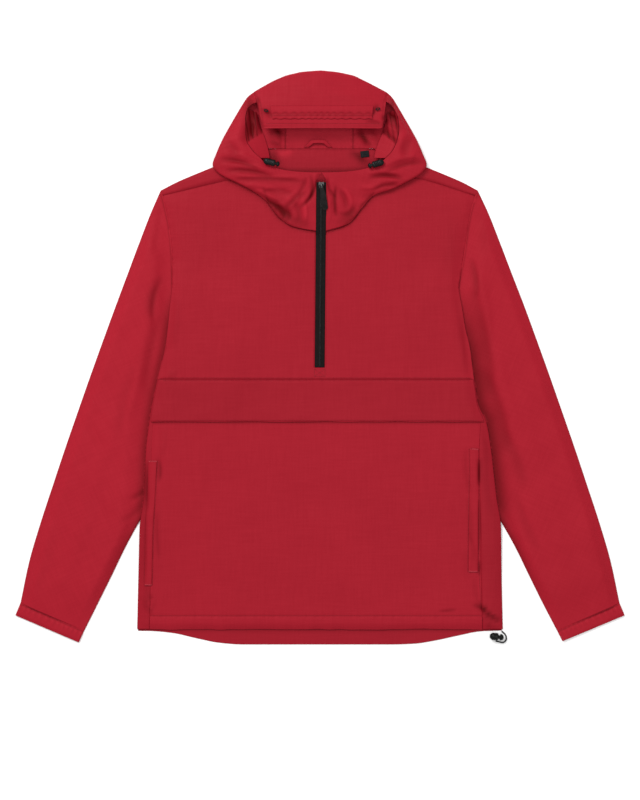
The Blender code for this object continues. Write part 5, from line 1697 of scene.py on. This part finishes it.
# ---------------------------------------------------------------- cord locks, eyelets, elastic
def turned_shape(profile, flatness):
    """Solid of revolution about X from (x, radius) points that start and end on the axis."""
    bm = bmesh.new()
    verts = [bm.verts.new((x * MM, 0, r * MM)) for x, r in profile]
    for a, b in zip(verts, verts[1:]):
        bm.edges.new((a, b))
    bmesh.ops.spin(bm, geom=bm.verts[:] + bm.edges[:], cent=(0, 0, 0), axis=(1, 0, 0),
                   angle=math.tau, steps=48, use_merge=True)
    bmesh.ops.remove_doubles(bm, verts=bm.verts, dist=1e-7)
    bmesh.ops.scale(bm, verts=bm.verts, vec=(1, 1, flatness))
    bmesh.ops.recalc_face_normals(bm, faces=bm.faces)
    return bm


def build_cord_locks():
    """Barrels with a sprung button; the barrel has grip rings and a rounded back."""
    for name, lock in LOCKS.items():
        length = lock.barrel_length
        radius = lock.barrel_radius
        bore = radius * 0.56
        floor = length * (1 - BORE_DEPTH)
        barrel = [(0, 0), (0, radius * 0.3), (0.35, radius * 0.46), (1.0, radius * 0.62),
                  (2.0, radius * 0.78), (3.4, radius * 0.91), (5.0, radius)]
        ring = 6.0
        while ring < length - 3.0:
            barrel += [(ring, radius), (ring + 0.3, radius * 0.93), (ring + 0.8, radius * 0.93),
                       (ring + 1.1, radius)]
            ring += 2.2
        barrel += [(length - 2.0, radius), (length - 0.9, radius * 0.96),
                   (length - 0.3, radius * 0.86), (length, bore + 0.9), (length, bore),
                   (floor, bore), (floor, 0)]
        stem = bore - 0.4
        head = length + BUTTON_TRAVEL + GAP
        head_end = head + lock.head_length
        foot = floor + BUTTON_TRAVEL + 2 * GAP
        button = [(foot, 0), (foot, stem), (head, stem), (head, radius * 0.74),
                  (head + 0.3, radius * 0.86), (head + 0.8, radius * 0.88),
                  (head_end - 1.8, radius * 0.74), (head_end - 0.8, radius * 0.56),
                  (head_end - 0.15, radius * 0.36), (head_end, radius * 0.2), (head_end, 0)]
        turn = Matrix.Rotation(math.radians(lock.heading), 4, "Z")
        place = Vector((lock.x, lock.y, lock.z))
        for node, profile, body in ((name, barrel, "root"),
                                    (name + "_button", button, name + "_button")):
            shifted = [(x - head_end / 2, r) for x, r in profile]
            bm = placed(turned_shape(shifted, lock.flatness), place, turn)
            plastic = moulded_black("moulded_plastic",
                                    tuple(bpy.context.scene.anorak_trim.plastic), 0.42, 0.14)
            piece = mesh_piece(node + "_moulding", bm, plastic, body)
            piece.data.set_sharp_from_angle(angle=math.radians(45))
            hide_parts(node)


def build_hem_elastic():
    """Round elastic that leaves the hem tunnel, loops and goes back into the lock."""
    points = smooth_route(ELASTIC_ROUTE, 3)
    curve = bpy.data.curves.new("hem_elastic_loop", "CURVE")
    curve.dimensions = "3D"
    curve.bevel_depth = ELASTIC_DIAMETER / 2 * MM
    curve.bevel_resolution = 4
    curve.use_fill_caps = True
    spline = curve.splines.new("POLY")
    spline.points.add(len(points) - 1)
    for target, point in zip(spline.points, points):
        target.co = (*(point * MM), 1)
    curve.materials.append(woven_black("elastic_braid", 1500.0, (0.009, 0.009, 0.009),
                                       (0.05, 0.05, 0.05), 45.0))
    piece = bpy.data.objects.new("hem_elastic_loop", curve)
    link(piece)
    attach(piece, "root")
    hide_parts("hem_elastic")


def finish_kept_nodes():
    """Finishes for the CAD nodes that are shown as they are."""
    for node in ("brim_eyelet_left", "brim_eyelet_right"):
        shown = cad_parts[node]
        for slot in shown.material_slots:
            slot.material = moulded_black("eyelet_lacquer", (0.0022, 0.002, 0.002), 0.65, 0.12)


# ---------------------------------------------------------------- stitching
Stitches = namedtuple("Stitches", "piece pitch paths")


def shifted_path(path, away):
    """The path moved to its left by a distance."""
    out = []
    for index, spot in enumerate(path):
        before = path[max(index - 1, 0)]
        after = path[min(index + 1, len(path) - 1)]
        run = Vector((after[0] - before[0], after[1] - before[1])).normalized()
        out.append((spot[0] - run.y * away, spot[1] + run.x * away))
    return out


def cuff_stitch(side):
    outer, inner, end_outer, end_inner = cuff_lines(side)
    t = 2.6 / (end_outer - outer).length
    return [tuple(outer.lerp(end_outer, t) + (inner - outer) * 0.01),
            tuple(inner.lerp(end_inner, t) - (inner - outer) * 0.01)]


def bar_tack(x, y, half, heading=0.0):
    """Three close rows of thread across the end of a pocket."""
    return [[(x - half, y + d + heading), (x + half, y + d - heading)] for d in (-0.6, 0.0, 0.6)]


def stitch_table():
    zip_left = [(zip_x(y) - ZIP_HALF - 2.2, y) for y in (ZIP_BOTTOM_Y, 60, 120, 186)]
    zip_right = [(zip_x(y) + ZIP_HALF + 2.2, y) for y in (ZIP_BOTTOM_Y, 60, 120, 186)]
    box = [(-8.5, -17), (-8.5, -28), (7.5, -28), (7.5, -17), (-8.5, -17)]
    chest = [shifted_path(NECK_SEAM["right"], -2.6), shifted_path(NECK_SEAM["left"], 2.6),
             chest_line(FLAP_TOP_Y + 2.0, 3), zip_left, zip_right, box,
             [(-8.5, -17), (7.5, -28)], [(-8.5, -28), (7.5, -17)]]
    welt_right = [(w.x + w.width / 2 + 1.4, w.y) for w in WELTS["right"]]
    welt_left = [(w.x - w.width / 2 - 1.4, w.y) for w in WELTS["left"]]
    lower = [chest_line(HEM_STITCH_Y, 2), welt_right, welt_left,
             [(244.5, FLAP_BOTTOM_Y - 3), (239, -136)][::-1],
             [(250.5, -390), (250, -404)], [(239, -136), (238, -210), (238, -321), (241, -375)]]
    outer_brim = [(-80, BRIM_Y + 2.6), (90, BRIM_Y + 2.6)]
    tacks_right = bar_tack(-250.0, -155.2, 6.5) + bar_tack(-257.0, -340.0, 5.2)
    tacks_left = bar_tack(230.5, -136.9, 6.2, 0.6) + bar_tack(229.0, -320.0, 6.6)
    return [
        Stitches("front_chest_cloth", 2.8, chest),
        Stitches("chest_flap_cloth", 2.8, [chest_line(FLAP_BOTTOM_Y + 2.2, 4),
                                            chest_line(FLAP_TOP_Y - 2.2, 4)]),
        Stitches("front_lower_cloth", 2.8, lower),
        Stitches("pocket_welt_right_cloth", 0.9, tacks_right),
        Stitches("pocket_welt_left_cloth", 0.9, tacks_left),
        Stitches("hood_centre_cloth", 2.4, [outer_brim]),
        Stitches("brim_channel_cloth", 2.4,
                 [[(-76, y), (84, y)] for y in (375.2, 360.4)]),
        Stitches("hood_side_right_cloth", 2.6, [[(-92, 396), (-90, 380)]]),
        Stitches("cuff_right_cloth", 2.6, [cuff_stitch("right")]),
        Stitches("cuff_left_cloth", 2.6, [cuff_stitch("left")]),
        Stitches("neck_label_cloth", 0.9, [[(62.3, 300.6), (73.2, 302.0), (72.1, 309.7),
                                            (61.2, 308.2), (62.3, 300.6)]]),
        Stitches("hanging_loop_cloth", 0.8, [[(-22.5, 315.9), (-17.6, 315.9)],
                                             [(12.8, 315.9), (17.4, 315.9)]]),
    ]


def build_stitching(trim):
    """Lockstitch: short threads lying in the cloth along the sewn lines of the stitch table."""
    depsgraph = bpy.context.evaluated_depsgraph_get()
    for row in stitch_table():
        tree = BVHTree.FromObject(bpy.data.objects[row.piece], depsgraph)
        bm = bmesh.new()
        for path in row.paths:
            runs = [math.dist(a, b) for a, b in zip(path, path[1:])]
            count = max(2, int(sum(runs) / row.pitch))
            for index in range(count):
                here = Vector(path_point(path, (index + 0.5) / count))
                ahead = Vector(path_point(path, min((index + 0.9) / count, 1.0)))
                hit = tree.ray_cast(Vector((*(here * MM), 0.1)), Vector((0, 0, -1)))
                if hit[0] is None:
                    continue
                heading = math.atan2(ahead.y - here.y, ahead.x - here.x)
                spot = (here.x, here.y, hit[0].z / MM + 0.05)
                small_block(bm, spot, heading, (row.pitch * 0.78, trim.thread_width,
                                                trim.thread_width * 0.8))
        thread = sewing_thread("red_thread", (0.165, 0.0035, 0.009))
        if row.piece.startswith("neck_label"):
            thread = sewing_thread("black_thread", (0.006, 0.006, 0.006))
        elif row.piece.startswith("pocket_welt"):
            thread = sewing_thread("tack_thread", (0.36, 0.03, 0.045))
        piece = mesh_piece("stitching_" + row.piece.replace("_cloth", ""), bm, thread)


# ---------------------------------------------------------------- stage
SENSOR = 36             # width of the camera's sensor in millimetres
VIEW_CENTRE_Y = -0.0635     # metres


def build_stage(stage):
    bm = bmesh.new()
    bmesh.ops.create_grid(bm, x_segments=1, y_segments=1, size=stage.floor_size / 2)
    mesh = bpy.data.meshes.new("floor")
    bm.to_mesh(mesh)
    bm.free()
    material, tree, shader = new_material("pale_floor")
    set_inputs(shader, {"Base Color": (0.93, 0.93, 0.93, 1), "Roughness": 0.9,
                        "Specular IOR Level": 0.1})
    mesh.materials.append(material)
    floor = bpy.data.objects.new("floor", mesh)
    link(floor)
    world = bpy.data.worlds.new("studio")
    bpy.context.scene.world = world
    world.use_nodes = True
    set_inputs(world.node_tree.nodes["Background"],
               {"Color": (1, 1, 1, 1), "Strength": stage.ambient})
    lamps = (("key", (-1.3, 1.9, 2.5), 1.4, stage.key_power),
             ("overhead", (0.5, -0.2, 3.4), 2.4, stage.overhead_power))
    for name, place, size, power in lamps:
        lamp = bpy.data.lights.new(name, "AREA")
        lamp.size = size
        lamp.energy = power
        item = bpy.data.objects.new(name, lamp)
        item.location = place
        item.rotation_euler = (-Vector(place)).to_track_quat("-Z", "Y").to_euler()
        link(item)
    camera = bpy.data.cameras.new("camera")
    camera.lens = stage.lens
    camera.sensor_width = SENSOR
    item = bpy.data.objects.new("camera", camera)
    item.location = (0, VIEW_CENTRE_Y, stage.view_height / SENSOR * stage.lens)
    link(item)
    bpy.context.scene.camera = item
    bpy.context.scene.view_settings.view_transform = "Standard"


# ---------------------------------------------------------------- add-on
class ClothSettings(bpy.types.PropertyGroup):
    """The red cloth."""
    colour: bpy.props.FloatVectorProperty(
        name="Colour", description="Colour of the nylon", subtype="COLOR", size=3,
        default=(0.284, 0.008, 0.0176), min=0, max=1)
    # painted shade: the colour that folds, seams and shadowed places are painted towards; slub
    # streaks also lean a little to it
    deep_colour: bpy.props.FloatVectorProperty(
        name="Deep colour", description="Colour of the nylon in its folds", subtype="COLOR",
        size=3, default=(0.082, 0.0002, 0.0015), min=0, max=1)
    thickness: bpy.props.FloatProperty(
        name="Thickness (mm)", description="Thickness of the shown cloth", default=0.7, min=0.2,
        max=2.0)
    step: bpy.props.FloatProperty(
        name="Mesh step (mm)", description="Spacing of the front panels' mesh", default=2.4,
        min=1.5, max=12.0)
    threads: bpy.props.FloatProperty(
        name="Threads per metre", description="Threads per metre each way in the weave",
        default=1800.0, min=200, max=8000)


class TrimSettings(bpy.types.PropertyGroup):
    """Zip, cord locks and thread."""
    plastic: bpy.props.FloatVectorProperty(
        name="Plastic", description="Colour of the cord locks and the zip pull",
        subtype="COLOR", size=3, default=(0.0026, 0.0034, 0.0032), min=0, max=1)
    slider_colour: bpy.props.FloatVectorProperty(
        name="Slider", description="Colour of the zip slider", subtype="COLOR", size=3,
        default=(0.06, 0.064, 0.062), min=0, max=1)
    coil_pitch: bpy.props.FloatProperty(
        name="Coil pitch (mm)", description="Distance between the coil's wires", default=1.3,
        min=0.8, max=4.0)
    thread_width: bpy.props.FloatProperty(
        name="Thread width (mm)", description="Width of the sewing thread", default=0.45,
        min=0.2, max=1.0)


class StageSettings(bpy.types.PropertyGroup):
    """Floor, light and camera."""
    floor_size: bpy.props.FloatProperty(
        name="Floor", description="Side of the square floor", default=14.0, min=2,
        subtype="DISTANCE", unit="LENGTH")
    key_power: bpy.props.FloatProperty(
        name="Key", description="Power of the key lamp in watts", default=78.0, min=0)
    overhead_power: bpy.props.FloatProperty(
        name="Overhead", description="Power of the overhead lamp in watts", default=42.0, min=0)
    ambient: bpy.props.FloatProperty(
        name="Ambient", description="Strength of the white surroundings", default=0.6, min=0)
    lens: bpy.props.FloatProperty(
        name="Lens", description="Focal length in millimetres", default=85.0, min=20)
    view_height: bpy.props.FloatProperty(
        name="View height", description="Height of the frame on the floor", default=1.2, min=0.3,
        subtype="DISTANCE", unit="LENGTH")


class ANORAK_OT_back_panel(bpy.types.Operator):
    """Build the back panel with its pressed side and shoulder folds"""
    bl_idname = "anorak.back_panel"
    bl_label = "Back panel"

    def execute(self, context):
        build_back_panel(context.scene.anorak_cloth)
        return {"FINISHED"}


class ANORAK_OT_front_chest(bpy.types.Operator):
    """Build the chest with its zip slot, the lower front and the chest flap"""
    bl_idname = "anorak.front_chest"
    bl_label = "Front panels"

    def execute(self, context):
        build_front_chest(context.scene.anorak_cloth)
        build_front_lower(context.scene.anorak_cloth)
        build_chest_flap(context.scene.anorak_cloth)
        return {"FINISHED"}


class ANORAK_OT_pocket_welts(bpy.types.Operator):
    """Build the welts of both side pockets"""
    bl_idname = "anorak.pocket_welts"
    bl_label = "Pocket welts"

    def execute(self, context):
        build_pocket_welts(context.scene.anorak_cloth)
        return {"FINISHED"}


class ANORAK_OT_sleeves(bpy.types.Operator):
    """Build both sleeves and their cuffs"""
    bl_idname = "anorak.sleeves"
    bl_label = "Sleeves and cuffs"

    def execute(self, context):
        build_sleeves(context.scene.anorak_cloth)
        build_cuffs(context.scene.anorak_cloth)
        return {"FINISHED"}


class ANORAK_OT_hood_sides(bpy.types.Operator):
    """Build the hood's side panels with their collar halves, and its centre panel"""
    bl_idname = "anorak.hood_sides"
    bl_label = "Hood panels"

    def execute(self, context):
        build_hood_sides(context.scene.anorak_cloth)
        build_hood_centre(context.scene.anorak_cloth)
        return {"FINISHED"}


class ANORAK_OT_brim_channel(bpy.types.Operator):
    """Build the cord channel across the brim"""
    bl_idname = "anorak.brim_channel"
    bl_label = "Brim channel"

    def execute(self, context):
        build_brim_channel(context.scene.anorak_cloth)
        return {"FINISHED"}


class ANORAK_OT_edge_facings(bpy.types.Operator):
    """Build the facings inside the hood opening"""
    bl_idname = "anorak.edge_facings"
    bl_label = "Edge facings"

    def execute(self, context):
        build_edge_facings(context.scene.anorak_cloth)
        return {"FINISHED"}


class ANORAK_OT_neck_pieces(bpy.types.Operator):
    """Build the hanging loop and the blank neck label"""
    bl_idname = "anorak.neck_pieces"
    bl_label = "Neck pieces"

    def execute(self, context):
        build_hanging_loop(context.scene.anorak_cloth)
        build_neck_label()
        return {"FINISHED"}


class ANORAK_OT_zip_tape(bpy.types.Operator):
    """Build the zip tape and its closed coil"""
    bl_idname = "anorak.zip_tape"
    bl_label = "Zip"

    def execute(self, context):
        build_zip_tape()
        return {"FINISHED"}


class ANORAK_OT_zip_slider(bpy.types.Operator):
    """Build the slider and its hinged pull tab"""
    bl_idname = "anorak.zip_slider"
    bl_label = "Zip slider and pull"

    def execute(self, context):
        build_zip_slider()
        build_zip_pull()
        return {"FINISHED"}


class ANORAK_OT_cord_locks(bpy.types.Operator):
    """Build the three cord locks and their buttons"""
    bl_idname = "anorak.cord_locks"
    bl_label = "Cord locks"

    def execute(self, context):
        build_cord_locks()
        return {"FINISHED"}


class ANORAK_OT_hem_elastic(bpy.types.Operator):
    """Build the elastic loop at the hem"""
    bl_idname = "anorak.hem_elastic"
    bl_label = "Hem elastic"

    def execute(self, context):
        build_hem_elastic()
        return {"FINISHED"}


class ANORAK_OT_kept_parts(bpy.types.Operator):
    """Give the eyelets their finish"""
    bl_idname = "anorak.kept_parts"
    bl_label = "Kept parts"

    def execute(self, context):
        finish_kept_nodes()
        return {"FINISHED"}


class ANORAK_OT_stitching(bpy.types.Operator):
    """Sew the seams listed in the stitch table"""
    bl_idname = "anorak.stitching"
    bl_label = "Stitching"

    def execute(self, context):
        build_stitching(context.scene.anorak_trim)
        return {"FINISHED"}


class ANORAK_OT_stage(bpy.types.Operator):
    """Build the floor, the lights and the camera"""
    bl_idname = "anorak.stage"
    bl_label = "Stage"

    def execute(self, context):
        build_stage(context.scene.anorak_stage)
        return {"FINISHED"}


class ANORAK_PT_panel(bpy.types.Panel):
    """Everything that builds the anorak, in order"""
    bl_label = "Anorak pullover"
    bl_space_type = "VIEW_3D"
    bl_region_type = "UI"
    bl_category = "Anorak"

    def draw(self, context):
        scene = context.scene
        for settings in (scene.anorak_cloth, scene.anorak_trim, scene.anorak_stage):
            box = self.layout.box()
            for name in settings.__annotations__:
                box.prop(settings, name)
        for operator in OPERATORS:
            self.layout.operator(operator.bl_idname)


OPERATORS = [
    ANORAK_OT_back_panel,
    ANORAK_OT_front_chest,
    ANORAK_OT_pocket_welts,
    ANORAK_OT_sleeves,
    ANORAK_OT_hood_sides,
    ANORAK_OT_brim_channel,
    ANORAK_OT_edge_facings,
    ANORAK_OT_neck_pieces,
    ANORAK_OT_zip_tape,
    ANORAK_OT_zip_slider,
    ANORAK_OT_cord_locks,
    ANORAK_OT_hem_elastic,
    ANORAK_OT_kept_parts,
    ANORAK_OT_stitching,
    ANORAK_OT_stage,
]
SETTINGS = {"anorak_cloth": ClothSettings, "anorak_trim": TrimSettings,
            "anorak_stage": StageSettings}


def register():
    for name, settings in SETTINGS.items():
        bpy.utils.register_class(settings)
        setattr(bpy.types.Scene, name, bpy.props.PointerProperty(type=settings))
    for made in OPERATORS + [ANORAK_PT_panel]:
        bpy.utils.register_class(made)


def unregister():
    for made in reversed(OPERATORS + [ANORAK_PT_panel]):
        bpy.utils.unregister_class(made)
    for name, settings in SETTINGS.items():
        delattr(bpy.types.Scene, name)
        bpy.utils.unregister_class(settings)


def main():
    register()
    for operator in OPERATORS:
        group, name = operator.bl_idname.split(".")
        getattr(getattr(bpy.ops, group), name)()


if __name__ == "__main__":
    main()
